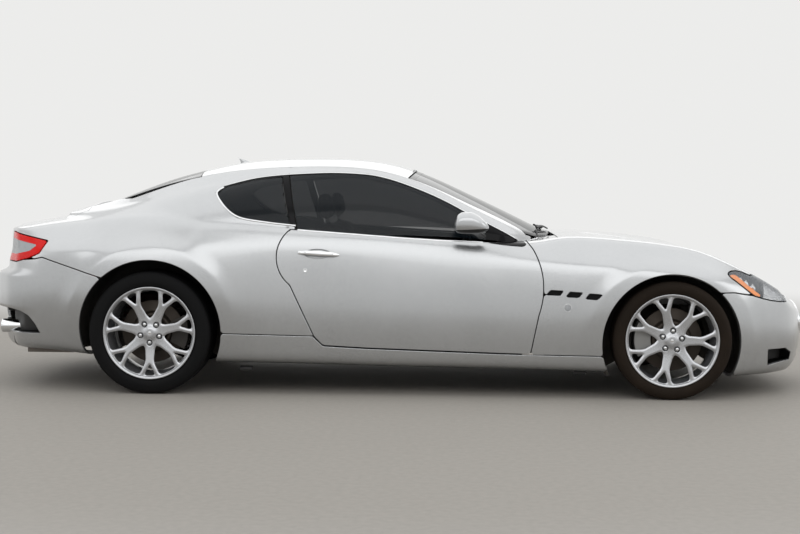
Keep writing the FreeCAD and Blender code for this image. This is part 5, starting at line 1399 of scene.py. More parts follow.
@dataclass
class Wheel:
    """One wheel: tyre, forked spokes in a ring, barrel, disc, bolts and cap, turned and placed on its axle.

    Attributes:
        name: the wheel's name in the nodes, as front_right.
        x, track, hub: where its middle is; the hub's height is the tyre's radius.
        half_width: the tyre's.
        half_rim: half the rim's width to the flanges' outsides.
        phase: angle of the first spoke, anticlockwise from the nose as seen from the right.
        side: the side of the car.
        rubber: the tyre's finish.
        bolt_turn: angle from the first spoke to the middle between two bolts.
        spokes: how many forked spokes.
        lip: radius of the rim's lip.
        face: how far a front rim's face stands out from the wheel's middle.
        bolts, bolt_circle: how many bolts on what radius.
    """

    shop: Workshop
    name: str
    x: float
    track: float
    hub: float
    half_width: float
    half_rim: float
    phase: float
    side: Side
    rubber: str
    bolt_turn: float
    spokes: int = 7
    lip: float = 0.262
    face: float = 0.134
    bolts: int = 5
    bolt_circle: float = 0.056

    def place(self, points: np.ndarray) -> np.ndarray:
        """Local points (x, outwards, z) on the axle; outwards is -Y on the right and +Y on the left."""
        out = points.copy()
        out[..., 0] += self.x
        out[..., 1] = self.side.value * (self.track + points[..., 1])
        out[..., 2] += self.hub
        return out

    def build(self) -> None:
        """Makes the wheel's pieces."""
        body = "wheel_" + self.name
        self.shop.fit(self.tyre(), body, "tyre_" + self.name)
        self.shop.fit(self.spoke_face(), body, "rim_" + self.name)
        self.shop.fit(self.barrel(), body)
        self.shop.fit(self.disc(), body)
        for piece in self.fasteners():
            self.shop.fit(piece, body)

    def revolve(self, label: str, profile: np.ndarray, steps: int, finish: str) -> bpy.types.Object:
        """A closed profile turned about the axle."""
        grid = self.place(turned(profile, steps))
        return grid_object("%s_%s" % (label, self.name), grid, self.shop.material[finish], True, True)

    def tyre(self) -> bpy.types.Object:
        """The tyre: round side walls with a bead ring, and a tread with four grooves all round."""
        w, r = self.half_width, self.hub
        side = [(w - 0.026, 0.2525), (w - 0.015, 0.2600), (w - 0.0075, 0.2680), (w - 0.0055, 0.2730),
                (w - 0.0015, 0.2790), (w, 0.2950), (w - 0.0010, 0.3080), (w - 0.0050, r - 0.0180),
                (w - 0.0120, r - 0.0075), (w - 0.0230, r - 0.0020)]
        grooves = []
        for middle in (0.62, 0.22):
            at, deep = middle * (w - 0.03), 0.007
            grooves += [(at + 0.0055, r), (at + 0.0045, r - deep), (at - 0.0045, r - deep), (at - 0.0055, r)]
        half = np.array(side + grooves)
        profile = np.concatenate([half, half[::-1] * [-1, 1]])
        return self.revolve("tyre_skin", profile, 144, self.rubber)

    def barrel(self) -> bpy.types.Object:
        """The rim's lip and barrel."""
        w, lip = self.half_rim, self.lip
        profile = np.array([(w - 0.001, lip), (w, lip - 0.002), (w, lip - 0.0055), (w - 0.0025, lip - 0.009),
                            (w - 0.006, lip - 0.0135), (w - 0.010, lip - 0.0155), (w - 0.030, lip - 0.0185),
                            (w - 0.07, lip - 0.028), (0.0, lip - 0.034), (-w + 0.02, lip - 0.024),
                            (-w, lip - 0.008), (-w, lip), (-w + 0.006, lip), (-w + 0.009, lip - 0.011),
                            (0, lip - 0.027), (w - 0.012, lip - 0.0125), (w - 0.007, lip - 0.004),
                            (w - 0.006, lip)])
        return self.revolve("barrel", profile, 120, "wheel silver")

    def disc(self) -> bpy.types.Object:
        """The brake disc with its bell."""
        profile = np.array([(-0.004, 0.075), (-0.004, 0.108), (-0.009, 0.112), (-0.009, 0.176),
                            (-0.007, 0.178), (0.018, 0.178), (0.0195, 0.176), (0.0195, 0.120),
                            (0.022, 0.116), (0.050, 0.108), (0.054, 0.102), (0.054, 0.075)])
        return self.revolve("brake_disc", profile, 96, "brake disc")

    def spoke_distance(self, r: np.ndarray, a: np.ndarray) -> np.ndarray:
        """Distance from the spokes' outline, below zero in the metal.

        The angle is folded onto one spoke. Its stem narrows to the fork, two arms run to the ring, and hub
        and ring are circles; they are joined by a smooth minimum, min(a, b) - (k - |a - b|)^2 / (4 k).
        """
        step = 2 * math.pi / self.spokes
        local = np.mod(a + step / 2, step) - step / 2
        u, v = r * np.cos(local), np.abs(r * np.sin(local))
        stem = v - np.interp(u, [0.05, 0.10, 0.172, 0.180], [0.031, 0.0275, 0.0225, 0.0215])
        stem = np.maximum(stem, u - 0.180)
        fork, end = np.array([0.164, 0.0085]), np.array([0.2445, 0.0480])
        way = end - fork
        s = np.clip(((u - fork[0]) * way[0] + (v - fork[1]) * way[1]) / (way @ way), 0, 1)
        arm = np.hypot(u - fork[0] - s * way[0], v - fork[1] - s * way[1]) - (0.0135 - 0.0018 * s)
        ring, hub = 0.2425 - r, r - 0.077
        out = stem
        for other, k in ((arm, 0.010), (ring, 0.022), (hub, 0.030)):
            out = np.minimum(out, other) - np.maximum(k - np.abs(out - other), 0) ** 2 / (4 * k)
        return out

    def spoke_face(self) -> bpy.types.Object:
        """The forked spokes: a dished face over the polar grid, rounded down towards the spokes' edges."""
        r = np.concatenate([np.linspace(0.012, 0.15, 24, endpoint=False),
                            np.linspace(0.15, 0.2485, 34)])[:, None]
        a = np.linspace(0, 2 * math.pi, self.spokes * 54 + 1)[None]
        inside = self.spoke_distance(r, a)
        far = np.clip(-inside, 0, 0.012) / 0.012
        crown = 0.0055 * (1 - (1 - far) ** 2)
        middle = smooth_step(0.02, 0.05, r)
        dish = 0.016 * (1 - smooth_step(0.07, 0.215, r)) * middle + 0.004 * (1 - middle)
        high = self.face - 0.0115 + crown - dish
        for k in range(self.bolts):
            turn = 2 * math.pi * (k + 0.5) / self.bolts + self.bolt_turn
            hole = np.hypot(r * np.cos(a) - self.bolt_circle * math.cos(turn),
                            r * np.sin(a) - self.bolt_circle * math.sin(turn))
            high = high - 0.007 * smooth_step(0.0165, 0.0135, hole)
        turn = a + math.radians(self.phase)
        if self.side is Side.LEFT:
            turn = math.pi - turn
        points = np.stack([r * np.cos(turn), high + self.offset(), r * np.sin(turn)], axis=2)
        placed = self.place(points)
        normals = BodyForm.normals_of(placed)
        if (normals[..., 1] * self.side.value).mean() < 0:
            normals = -normals
            placed, normals, inside = placed[::-1], normals[::-1], inside[::-1]
        keep = np.broadcast_to(inside, placed.shape[:2])
        skin = rimmed(Patch(placed, normals, keep, [], keep), 0.0015, 0.024)
        return mesh_object("spokes_" + self.name, skin[0], skin[2], self.shop.material["wheel silver"],
                           skin[1])

    def offset(self) -> float:
        """How far this rim's face stands out from that of a front rim."""
        return self.half_rim - 0.139

    def fasteners(self) -> list:
        """Five bolts with a plain cap, and black rings round them: painted shade of their recesses."""
        grids = []
        high = self.face - 0.0215 + self.offset()
        cap = np.array([(high - 0.006, 0.0285), (high + 0.003, 0.0285), (high + 0.0055, 0.0265),
                        (high + 0.0075, 0.018), (high + 0.0082, 0.0002)])
        grids.append(turned(cap, 36))
        bolt = np.array([(high - 0.006, 0.0092), (high + 0.0005, 0.0092), (high + 0.0032, 0.0076),
                         (high + 0.0042, 0.0045), (high + 0.0045, 0.0002)])
        # Black rings round each bolt: painted shade of the recesses that the bolts sit in.
        shade_ring = np.array([(high - 0.006, 0.0165), (high + 0.0012, 0.0165), (high + 0.0018, 0.0150),
                         (high + 0.0012, 0.0130), (high - 0.004, 0.0120)])
        shade_rings = []
        for k in range(self.bolts):
            turn = 2 * math.pi * (k + 0.5) / self.bolts + self.bolt_turn + math.radians(self.phase)
            if self.side is Side.LEFT:
                turn = math.pi - turn
            place = np.array([self.bolt_circle * math.cos(turn), 0, self.bolt_circle * math.sin(turn)])
            grids.append(turned(bolt, 20) + place)
            shade_rings.append(turned(shade_ring, 28) + place)
        made = []
        for name, rings, finish in (("bolts_", grids, "polished chrome"),
                                    ("bolt_wells_", shade_rings, "black trim")):
            points, _, faces = many([self.place(grid) for grid in rings], True, False)
            made.append(tidy_normals(mesh_object(name + self.name, points, faces,
                                                 self.shop.material[finish])))
        return made


# Each axle: name, x, track, hub height, half tyre width, half rim width, the first spoke's angle on the
# right and on the left wheel, the tyre's finish and the bolts' turn
AXLES = (
    ("front", FRONT_AXLE, TRACK_FRONT, HUB_FRONT, 0.1225, 0.117, (0.0, 20.0), "dusty tyre rubber", 0.855),
    # The rear axle's darker, less dusty tyre rubber is painted shade.
    ("rear", REAR_AXLE, TRACK_REAR, HUB_REAR, 0.1425, 0.140, (-90.0, 35.0), "tyre rubber", 0.585),
)


def tray(patch: Patch, depth: float) -> tuple:
    """A tub behind an opening: the clipped skin moved in, and walls up to the opening's edge."""
    points, normals, _, faces = clip_patch(patch)
    points, (normals,), faces = weld(points, [normals], faces)
    normals = unit(normals)
    edges = boundary_of(faces)
    ends, place = np.unique(edges.ravel(), return_inverse=True)
    local = place.reshape(edges.shape) + len(points)
    wall = np.stack([edges[:, 0], edges[:, 1], local[:, 1], local[:, 0]], axis=1)
    return (np.concatenate([points - normals * depth, points[ends]]),
            np.concatenate([normals, normals[ends]]), faces + [wall])


def many(grids: list, wrap_rows: bool, wrap_cols: bool) -> tuple:
    """Several grids of points as one shape: points, None for their directions, and faces."""
    points, faces, start = [], [], 0
    for grid in grids:
        rows, cols = grid.shape[:2]
        points.append(grid.reshape(-1, 3))
        faces.append(grid_faces(rows, cols, wrap_rows, wrap_cols) + start)
        start += rows * cols
    return np.concatenate(points), None, [np.concatenate(faces)]


def aimed(profile: np.ndarray, steps: int, place: np.ndarray, way: np.ndarray) -> np.ndarray:
    """A profile of (along, radius) turned about a direction through a place."""
    way = unit(np.asarray(way, dtype=float))
    side = unit(np.cross(way, [0.0, 0.0, 1.0] if abs(way[2]) < 0.9 else [1.0, 0.0, 0.0]))
    third = np.cross(way, side)
    angle = np.linspace(0, 2 * math.pi, steps, endpoint=False)[:, None, None]
    along, radius = profile[None, :, :1], profile[None, :, 1:]
    return np.asarray(place) + along * way + radius * (np.cos(angle) * side + np.sin(angle) * third)


class Lamps(Fitter):
    """Headlamps with amber strips and round units, hooked red tail lamps, and the wing repeaters."""

    amber = outline((1914, 702), (1934, 700), (1970, 673), (2000, 646), (2034, 620), (2083, 584),
                    (2072, 560), (2030, 560), (1890, 670), (1898, 700))
    units = ((1.985, 0.690, 0.015), (2.022, 0.668, 0.019), (2.068, 0.642, 0.022), (2.072, 0.606, 0.013))
    tail_dots = ((-2.185, 0.824), (-2.160, 0.824), (-2.135, 0.824), (-2.110, 0.824), (-2.085, 0.825))

    def build(self) -> None:
        """Makes every lamp."""
        self.headlamps()
        self.tail_lamps()
        self.repeaters()

    def headlamps(self) -> None:
        """A clear cover over a dark tub with round units behind, and a bright ribbed reflector ahead."""
        w = self.skin.window(1.87, 2.31, True)
        area = np.maximum.reduce([Bodywork.side(w, HEADLAMP), SHUT_GAP - Bodywork.plan(w, BONNET),
                                  0.452 + w["y"]])
        cover = closed_pane(Patch(w["p"], w["n"], area + 0.0015), 0.0025)
        self.merged("headlamp_covers", "chassis", cover, "clear lens", "headlamps")
        inner = shifted(w, 0.004)
        split = w["x"] - 2.108 - 0.25 * (w["z"] - 0.60)
        dark = Patch(inner["p"], inner["n"], np.maximum(area + 0.003, split))
        self.merged("headlamp_tubs", "chassis", tray(dark, 0.042), "gloss black")
        bright = Patch(inner["p"], inner["n"], np.maximum(area + 0.003, -split))
        self.merged("headlamp_reflectors", "chassis", tray(bright, 0.016), "ribbed reflector")
        strip = shifted(w, 0.003)
        band = np.maximum(Bodywork.side(w, self.amber), area + 0.005)
        self.merged("amber_strips", "chassis", closed_pane(Patch(strip["p"], strip["n"], band), 0.012),
                    "amber lens")
        rings, eyes = [], []
        for x, z, radius in self.units:
            place, way = self.surface_at(x, z)
            aim = unit(way + np.array([0.9, 0.0, 0.0]))
            base = place - way * 0.034
            ring = np.array([(-0.016, radius), (0.006, radius * 1.12), (0.010, radius * 1.04),
                             (0.006, radius * 0.86), (-0.004, radius * 0.80)])
            eye = np.array([(-0.004, radius * 0.82), (0.001, radius * 0.72), (0.0045, radius * 0.42),
                            (0.0055, 0.0003)])
            rings.append(aimed(ring, 28, base, aim))
            eyes.append(aimed(eye, 28, base, aim))
        for name, grids, finish in (("headlamp_bezels", rings, "polished chrome"),
                                    ("headlamp_eyes", eyes, "dark lens")):
            self.merged(name, "chassis", many(grids, True, False), finish, tidy=True)

    def tail_lamps(self) -> None:
        """A red hook round a clear wedge with a row of dark dots."""
        w = self.skin.window(-2.45, -1.98, True)
        area = np.maximum(Bodywork.side(w, TAIL_LAMP), 0.570 + w["y"]) + 0.0015
        clear = Bodywork.side(w, TAIL_CLEAR)
        red = closed_pane(Patch(w["p"], w["n"], np.maximum(area, -clear)), 0.012)
        self.merged("tail_lamp_reds", "chassis", red, "red lens", "tail_lamps")
        middle = np.maximum(area, clear)
        self.merged("tail_lamp_clears", "chassis", closed_pane(Patch(w["p"], w["n"], middle), 0.0025),
                    "ribbed lens")
        inner = shifted(w, 0.004)
        self.merged("tail_lamp_tubs", "chassis", tray(Patch(inner["p"], inner["n"], middle), 0.012),
                    "bright trim")
        dots = []
        for x, z in self.tail_dots:
            place, way = self.surface_at(x, z)
            profile = np.array([(-0.010, 0.0085), (0.000, 0.0085), (0.002, 0.006), (0.0025, 0.0003)])
            dots.append(aimed(profile, 16, place - way * 0.006, way))
        self.merged("tail_lamp_dots", "chassis", many(dots, True, False), "dark lens", tidy=True)

    def repeaters(self) -> None:
        """A small round lamp in a bright ring on each wing, behind the wheel."""
        place, way = self.surface_at(0.980, 0.514)
        ring = np.array([(-0.004, 0.0225), (0.0015, 0.0225), (0.0028, 0.0210), (0.0015, 0.0190),
                         (-0.004, 0.0190)])
        lens = np.array([(-0.002, 0.0192), (0.0008, 0.0188), (0.0028, 0.0120), (0.0034, 0.0003)])
        for name, profile, finish in (("repeater_rings", ring, "bright trim"),
                                      ("repeater_lenses", lens, "ribbed lens")):
            self.merged(name, "chassis", many([aimed(profile, 32, place, way)], True, False), finish,
                        tidy=True)


class Openings(Fitter):
    """Grille, air intakes, wing vents, exhaust bays with their tips, arch liners and the blank plate."""

    bar_step: float = 0.046
    tip_places = ((0.500, 0.350), (0.598, 0.350))
    front_wall: float = -0.490
    rear_wall: float = -0.553

    def build(self) -> None:
        """Makes every opening's filling."""
        self.grille()
        self.intakes()
        self.exhaust_tips()
        self.liners()
        self.plate()

    def front_x(self, y: np.ndarray, z: np.ndarray) -> np.ndarray:
        """How far ahead the nose's outside lies at each (y, z): the nearest grid point's x."""
        w = self.skin.window(2.18, 2.5, False)
        grid = np.stack([w["y"].ravel(), w["z"].ravel(), w["x"].ravel()], axis=1)
        grid = grid[(w["n"][..., 0].ravel() > 0.1)]
        away = (grid[None, :, 0] - y[:, None]) ** 2 + (grid[None, :, 1] - z[:, None]) ** 2
        return grid[np.argmin(away, axis=1), 2]

    def grille(self) -> None:
        """An oval bright ring, upright blades bent back at their edges, and a dark mesh behind them."""
        steps = np.concatenate([[0], np.cumsum(np.hypot(*np.diff(np.vstack([GRILLE, GRILLE[:1]]),
                                                                 axis=0).T))])
        at = np.linspace(0, steps[-1], 200, endpoint=False)
        ring = np.stack([np.interp(at, steps, np.append(GRILLE[:, k], GRILLE[0, k])) for k in (0, 1)],
                        axis=1)
        x = self.front_x(ring[:, 0], ring[:, 1])
        x = soften(np.tile(x, 3)[:, None], 6)[200:400, 0]
        path = np.stack([x, ring[:, 0], ring[:, 1]], axis=1)
        ways = unit(path - np.array([2.10, 0.0, 0.40]) + np.array([0.25, 0, 0]))
        profile = rounded_profile(np.array([(-0.010, 0.000), (0.002, 0.006), (0.012, 0.000), (0.010, -0.020),
                                            (-0.008, -0.020)]), 0.004)
        obj = sweep_object("grille_ring", path, profile, ways, self.shop.material["polished chrome"], True)
        self.shop.fit(obj, "chassis", "grille")
        blades = []
        places = np.arange(-6.5, 7, 1.0) * self.bar_step
        z = np.linspace(0.29, 0.51, 121)
        for y in places:
            inside = outline_distance(np.full_like(z, y), z, GRILLE) < -0.004
            if inside.sum() < 8:
                continue
            run = np.linspace(z[inside][0], z[inside][-1], 24)
            front = soften(self.front_x(np.full_like(run, y), run)[:, None], 3)[:, 0] - 0.016
            centre = np.stack([front, np.full_like(run, y), run], axis=1)
            blade = np.array([(0.0035, 0.0), (0.0015, 0.004), (-0.0015, 0.004), (-0.0035, 0.0),
                              (-0.0055, -0.012), (-0.0070, -0.028), (-0.0040, -0.028), (0.0, -0.010),
                              (0.0040, -0.028), (0.0070, -0.028), (0.0055, -0.012)])
            blades.append(np.stack([centre[:, None, 0] + blade[None, :, 1],
                                    centre[:, None, 1] + blade[None, :, 0],
                                    np.broadcast_to(centre[:, None, 2], (24, len(blade)))], axis=2))
        self.one("grille_blades", "chassis", many(blades, False, True), "bright trim", tidy=True)
        y, z = np.meshgrid(np.linspace(-0.36, 0.36, 90), np.linspace(0.28, 0.52, 40))
        depth = 2.372 - 0.55 * y**2
        grid = np.stack([depth, y, z], axis=2)
        ways = np.broadcast_to(np.array([1.0, 0.0, 0.0]), grid.shape)
        mesh = closed_pane(Patch(grid, ways, outline_distance(y, z, GRILLE) - 0.004), 0.004)
        self.one("grille_mesh", "chassis", mesh, "dark mesh")

    def intakes(self) -> None:
        """Dark tubs behind the lower intakes, the wing vents and the exhaust bays."""
        w = self.skin.window(1.9, 2.5, True)
        side = np.maximum(Bodywork.side(w, SIDE_INTAKE), 0.47 + w["y"])
        self.merged("side_intake_tubs", "chassis", tray(Patch(w["p"], w["n"], side - 0.001), 0.06),
                    "dark mesh")
        whole = self.skin.window(2.14, 2.5, False)
        middle = np.maximum(outline_distance(whole["y"], whole["z"], MIDDLE_INTAKE) - 0.001,
                            2.15 - whole["x"])
        self.one("middle_intake_tub", "chassis", tray(Patch(whole["p"], whole["n"], middle), 0.06),
                 "dark mesh")
        w = self.skin.window(0.84, 1.20, True)
        vents = np.minimum.reduce([Bodywork.side(w, vent) for vent in VENTS]) - 0.001
        vents = np.maximum(vents, 0.8 + w["y"])
        self.merged("vent_tubs", "chassis", tray(Patch(w["p"], w["n"], vents), 0.026), "gloss black")
        w = self.skin.window(-2.6, -1.95, True)
        bay = np.maximum(Bodywork.side(w, EXHAUST_BAY), 0.43 + w["y"]) - 0.001
        self.merged("exhaust_bay_tubs", "chassis", tray(Patch(w["p"], w["n"], bay), 0.05), "wiper rubber")

    def exhaust_tips(self) -> None:
        """Two round bright tips each side, rolled at the mouth and dark inside."""
        tips = []
        for y, z in self.tip_places:
            profile = np.array([(-0.12, 0.0395), (0.015, 0.0405), (0.0195, 0.0400), (0.0215, 0.0380),
                                (0.0195, 0.0360), (0.010, 0.0350), (-0.09, 0.0345)])
            tips.append(aimed(profile, 40, np.array([-2.292, -y, z]), np.array([-1.0, 0.0, 0.0])))
        self.merged("exhaust_tips", "chassis", many(tips, True, False), "polished chrome", tidy=True)

    def liners(self) -> None:
        """Half tubes round the wheels, from the skin's edge inwards, closed by a wall on the inside."""
        grids = []
        for cx, cz, radius in (self.skin.rear_arch, self.skin.front_arch):
            angle = np.linspace(math.radians(-28), math.radians(208), 72)
            edge = np.array([self.surface_at(cx + radius * math.cos(a), max(cz + radius * math.sin(a),
                                                                            0.17))[0][1] for a in angle])
            edge = soften(edge[:, None], 2)[:, 0]
            steps = ((0.004, 0.000), (0.016, 0.002), (0.030, 0.012), (0.12, 0.016), (0.24, 0.016))
            rings = [(edge + inner, np.full_like(angle, radius + out)) for inner, out in steps]
            wall = self.front_wall if cx > 0 else self.rear_wall
            rings += [(np.full_like(angle, wall - 0.012), np.full_like(angle, radius + 0.012)),
                      (np.full_like(angle, wall - 0.002), np.full_like(angle, radius - 0.01)),
                      (np.full_like(angle, wall), np.full_like(angle, 0.24))]
            grids.append(np.stack([np.stack([cx + r * np.cos(angle), y, cz + r * np.sin(angle)], axis=1)
                                   for y, r in rings], axis=1))
        self.merged("arch_tubs", "chassis", many(grids, False, False), "underbody coat", "arch_liners")

    def plate(self) -> None:
        """A blank plate in a thin frame on the rear bumper's middle."""
        w = self.skin.window(-2.6, -2.3, False)
        shape = outline((-260, 505), (260, 505), (260, 400), (-260, 400))
        area = np.maximum(outline_distance(w["y"], w["z"], shape) - 0.008, w["x"] + 2.33)
        area = np.maximum(area, w["n"][..., 0] + 0.1)
        frame = rimmed(Patch(w["p"] + w["n"] * 0.005, w["n"], area, [], area), 0.002, 0.005)
        self.one("plate_frame", "chassis", frame, "black trim")
        blank = rimmed(Patch(w["p"] + w["n"] * 0.0062, w["n"], area + 0.010, [], area + 0.010), 0.001, 0.002)
        self.one("blank_plate", "chassis", blank, "blank plate")


class Fittings(Fitter):
    """Mirrors, door handles and locks, wipers and the roof fin."""

    def build(self) -> None:
        """Makes every fitting."""
        self.mirrors()
        self.handles()
        self.wipers()
        self.fin()

    def mirrors(self) -> None:
        """Each mirror: a head of superellipse sections, silver above and black below, on a short arm."""
        table = np.array([(0.3490, 0.9480, 0.9970, 0.046), (0.3520, 0.9400, 1.0100, 0.055),
                          (0.3620, 0.9310, 1.0290, 0.064), (0.3900, 0.9255, 1.0440, 0.0690),
                          (0.4300, 0.9240, 1.0455, 0.0690), (0.4700, 0.9255, 1.0310, 0.0640),
                          (0.5000, 0.9305, 1.0090, 0.0550), (0.5220, 0.9390, 0.9860, 0.0380),
                          (0.5330, 0.9480, 0.9700, 0.0200), (0.5355, 0.9560, 0.9620, 0.0040)])
        x = np.concatenate([np.linspace(0.349, 0.365, 7), np.linspace(0.37, 0.53, 26),
                            np.linspace(0.5315, 0.5355, 5)])
        low, high, half = monotone_curve(table[:, 0], table[:, 1:], x).T
        a = np.linspace(0, 2 * math.pi, 65)[None]
        power = 2 / 2.5
        y = -0.957 + half[:, None] * np.sign(np.cos(a)) * np.abs(np.cos(a)) ** power
        tall = ((high - low) / 2)[:, None]
        z = ((low + high) / 2)[:, None] + tall * np.sign(np.sin(a)) * np.abs(np.sin(a)) ** power
        grid = np.stack([np.broadcast_to(x[:, None], y.shape), y, z], axis=2)
        normals = BodyForm.normals_of(grid)
        out = grid - grid.mean(axis=1, keepdims=True)
        if (normals * out).sum() < 0:
            normals = -normals
            grid, normals = grid[::-1], normals[::-1]
        line = 0.9445 + 0.05 * (grid[..., 0] - 0.35) - grid[..., 2]
        cap = rimmed(Patch(grid, normals, line + 0.0008, [], line + 0.0008), 0.0012, 0.004)
        self.pair("mirror_cap_{}", "door_{}", cap, "silver paint", "mirror_{}")
        base = rimmed(Patch(grid, normals, 0.0008 - line, [], 0.0008 - line), 0.0012, 0.004)
        self.pair("mirror_base_{}", "door_{}", base, "black trim")
        ring = np.array([(-0.003, 0.97), (0.0006, 0.94), (0.0012, 0.88), (0.0004, 0.84)])
        face = [np.stack([np.full(64, 0.3488 - d), -0.957 + 0.046 * s * np.cos(a[0, :-1]),
                          0.9725 + 0.0245 * s * np.sin(a[0, :-1])], axis=1) for d, s in ring]
        face += [np.stack([np.full(64, 0.3486), -0.957 + 0.046 * s * np.cos(a[0, :-1]),
                           0.9725 + 0.0245 * s * np.sin(a[0, :-1])], axis=1) for s in (0.83, 0.4, 0.01)]
        self.pair("mirror_glass_{}", "door_{}", many([np.stack(face)], False, True), "polished chrome",
                  tidy=True)
        arm = np.array([(0.500, -0.868, 0.905), (0.492, -0.882, 0.914), (0.478, -0.905, 0.925),
                        (0.462, -0.930, 0.934), (0.455, -0.945, 0.938)])
        section = four_cornered(0.026, -0.008, 0.022, 0.009, 0.008)
        grid = swept(monotone_curve(np.arange(5.0), arm, np.linspace(0, 4, 20)), section,
                     np.broadcast_to(np.array([0.0, 0.25, 1.0]), (20, 3)))
        self.pair("mirror_arm_{}", "door_{}", many([grid], False, True), "black trim", tidy=True)

    def handles(self) -> None:
        """Pull handles standing off a shallow dark cup, and the locks below them."""
        x = np.linspace(-0.535, -0.302, 44)
        z = np.interp(x, [-0.535, -0.302], [0.809, 0.796])
        places = np.array([self.surface_at(a, b)[0] for a, b in zip(x, z)])
        ways = np.array([self.surface_at(a, b)[1] for a, b in zip(x, z)])
        places, ways = soften(places, 3), unit(soften(ways, 3))
        s = (x - x[0]) / (x[-1] - x[0])
        lift = 0.024 * smooth_step(0.0, 0.22, s) * smooth_step(1.0, 0.78, s) - 0.002
        wide = 0.0105 + 0.0035 * np.sin(math.pi * s) - 0.004 * smooth_step(0.9, 1.0, s)
        path = places + ways * lift[:, None]
        a = np.linspace(0, 2 * math.pi, 20, endpoint=False)
        tangent = unit(np.gradient(path, axis=0))
        across = unit(np.cross(tangent, ways))
        grid = (path[:, None] + across[:, None] * (wide[:, None] * np.cos(a))[..., None]
                + ways[:, None] * (0.0062 * np.sin(a))[None, :, None])
        ends = [path[:1, None] + np.zeros((1, 20, 3)), path[-1:, None] + np.zeros((1, 20, 3))]
        self.pair("handle_{}", "door_{}", many([np.concatenate([ends[0], grid, ends[1]])], False, True),
                  "polished chrome", tidy=True)
        w = self.skin.window(-0.58, -0.26, True)
        self.pair("handle_cup_{}", "door_{}", tray(Patch(w["p"], w["n"], handle_cup(w)), 0.012),
                  "silver paint")
        place, way = self.surface_at(-0.493, 0.709)
        lock = np.array([(-0.003, 0.0115), (0.0008, 0.0115), (0.0018, 0.0100), (0.0012, 0.0080),
                         (0.0004, 0.0003)])
        self.pair("lock_{}", "door_{}", many([aimed(lock, 28, place, way)], True, False), "bright trim",
                  tidy=True)

    def screen_z(self, x: np.ndarray, y: np.ndarray) -> np.ndarray:
        """How high the windscreen's outside lies at each (x, y)."""
        form = self.skin.form
        grid = self.skin.cabin[:, form.angles // 2:-(form.angles // 2)]
        rows = (form.x > 0.3) & (form.x < 0.93)
        flat = grid[rows].reshape(-1, 3)
        away = (flat[None, :, 0] - x[:, None]) ** 2 + (flat[None, :, 1] - y[:, None]) ** 2
        return flat[np.argmin(away, axis=1), 2]

    def wipers(self) -> None:
        """Two wipers: a rubber blade close to the glass and an arm over it from its pivot."""
        grids = []
        for start, end, pivot in (((0.878, -0.06), (0.838, -0.62), (0.905, -0.035)),
                                  ((0.868, 0.56), (0.880, 0.03), (0.880, 0.60))):
            s = np.linspace(0, 1, 30)
            x = start[0] + (end[0] - start[0]) * s - 0.03 * np.sin(math.pi * s)
            y = start[1] + (end[1] - start[1]) * s
            z = soften(self.screen_z(x, y)[:, None], 3)[:, 0]
            path = np.stack([x, y, z + 0.009], axis=1)
            up = np.broadcast_to(np.array([0.45, 0.0, 0.9]), path.shape)
            blade = np.array([(-0.004, 0.006), (0.004, 0.006), (0.005, 0.000), (0.0015, -0.002),
                              (0.001, -0.009), (-0.001, -0.009), (-0.0015, -0.002), (-0.005, 0.000)])
            grids.append(swept(path, blade, up))
            middle = path[15] + np.array([0.0, 0.0, 0.012])
            hub = np.array([pivot[0], pivot[1], float(self.screen_z(np.array([min(pivot[0], 0.9)]),
                                                                    np.array([pivot[1]]))[0]) + 0.012])
            arm = hub + (middle - hub) * s[:, None] + np.array([0, 0, 0.010]) * np.sin(math.pi * s)[:, None]
            bar = four_cornered(0.009, -0.004, 0.007, 0.005, 0.003)
            grids.append(swept(arm, bar, up))
        self.one("wiper_set", "chassis", many(grids, False, True), "wiper rubber", "wipers", tidy=True)

    def fin(self) -> None:
        """The small fin aerial on the roof's back."""
        s = np.linspace(0, 1, 24)
        base_x = -0.992 + 0.085 * s
        high = 0.042 * (1 - s) ** 1.5
        lean = 0.022 * (high / 0.042) ** 1.5
        wide = 0.010 * np.sin(math.pi * np.clip(s, 0.03, 0.97)) ** 0.5
        a = np.linspace(0, math.pi, 15)
        z0 = np.interp(base_x, [-1.09, -0.92], [1.296, 1.325])
        grid = np.stack([np.stack([bx - l * np.sin(a) ** 2, b * np.cos(a), z + h * np.sin(a) ** 0.8], axis=1)
                         for bx, h, l, b, z in zip(base_x, high, lean, wide, z0)])
        self.one("roof_fin", "chassis", many([grid], False, False), "silver paint", tidy=True)


def handle_cup(w: dict) -> np.ndarray:
    """Distance from the shallow cup behind the handle: an ellipse on the door."""
    oval = np.hypot((w["x"] + 0.425) / 0.070, (w["z"] - 0.802) / 0.026)
    return (oval - 1) * 0.026


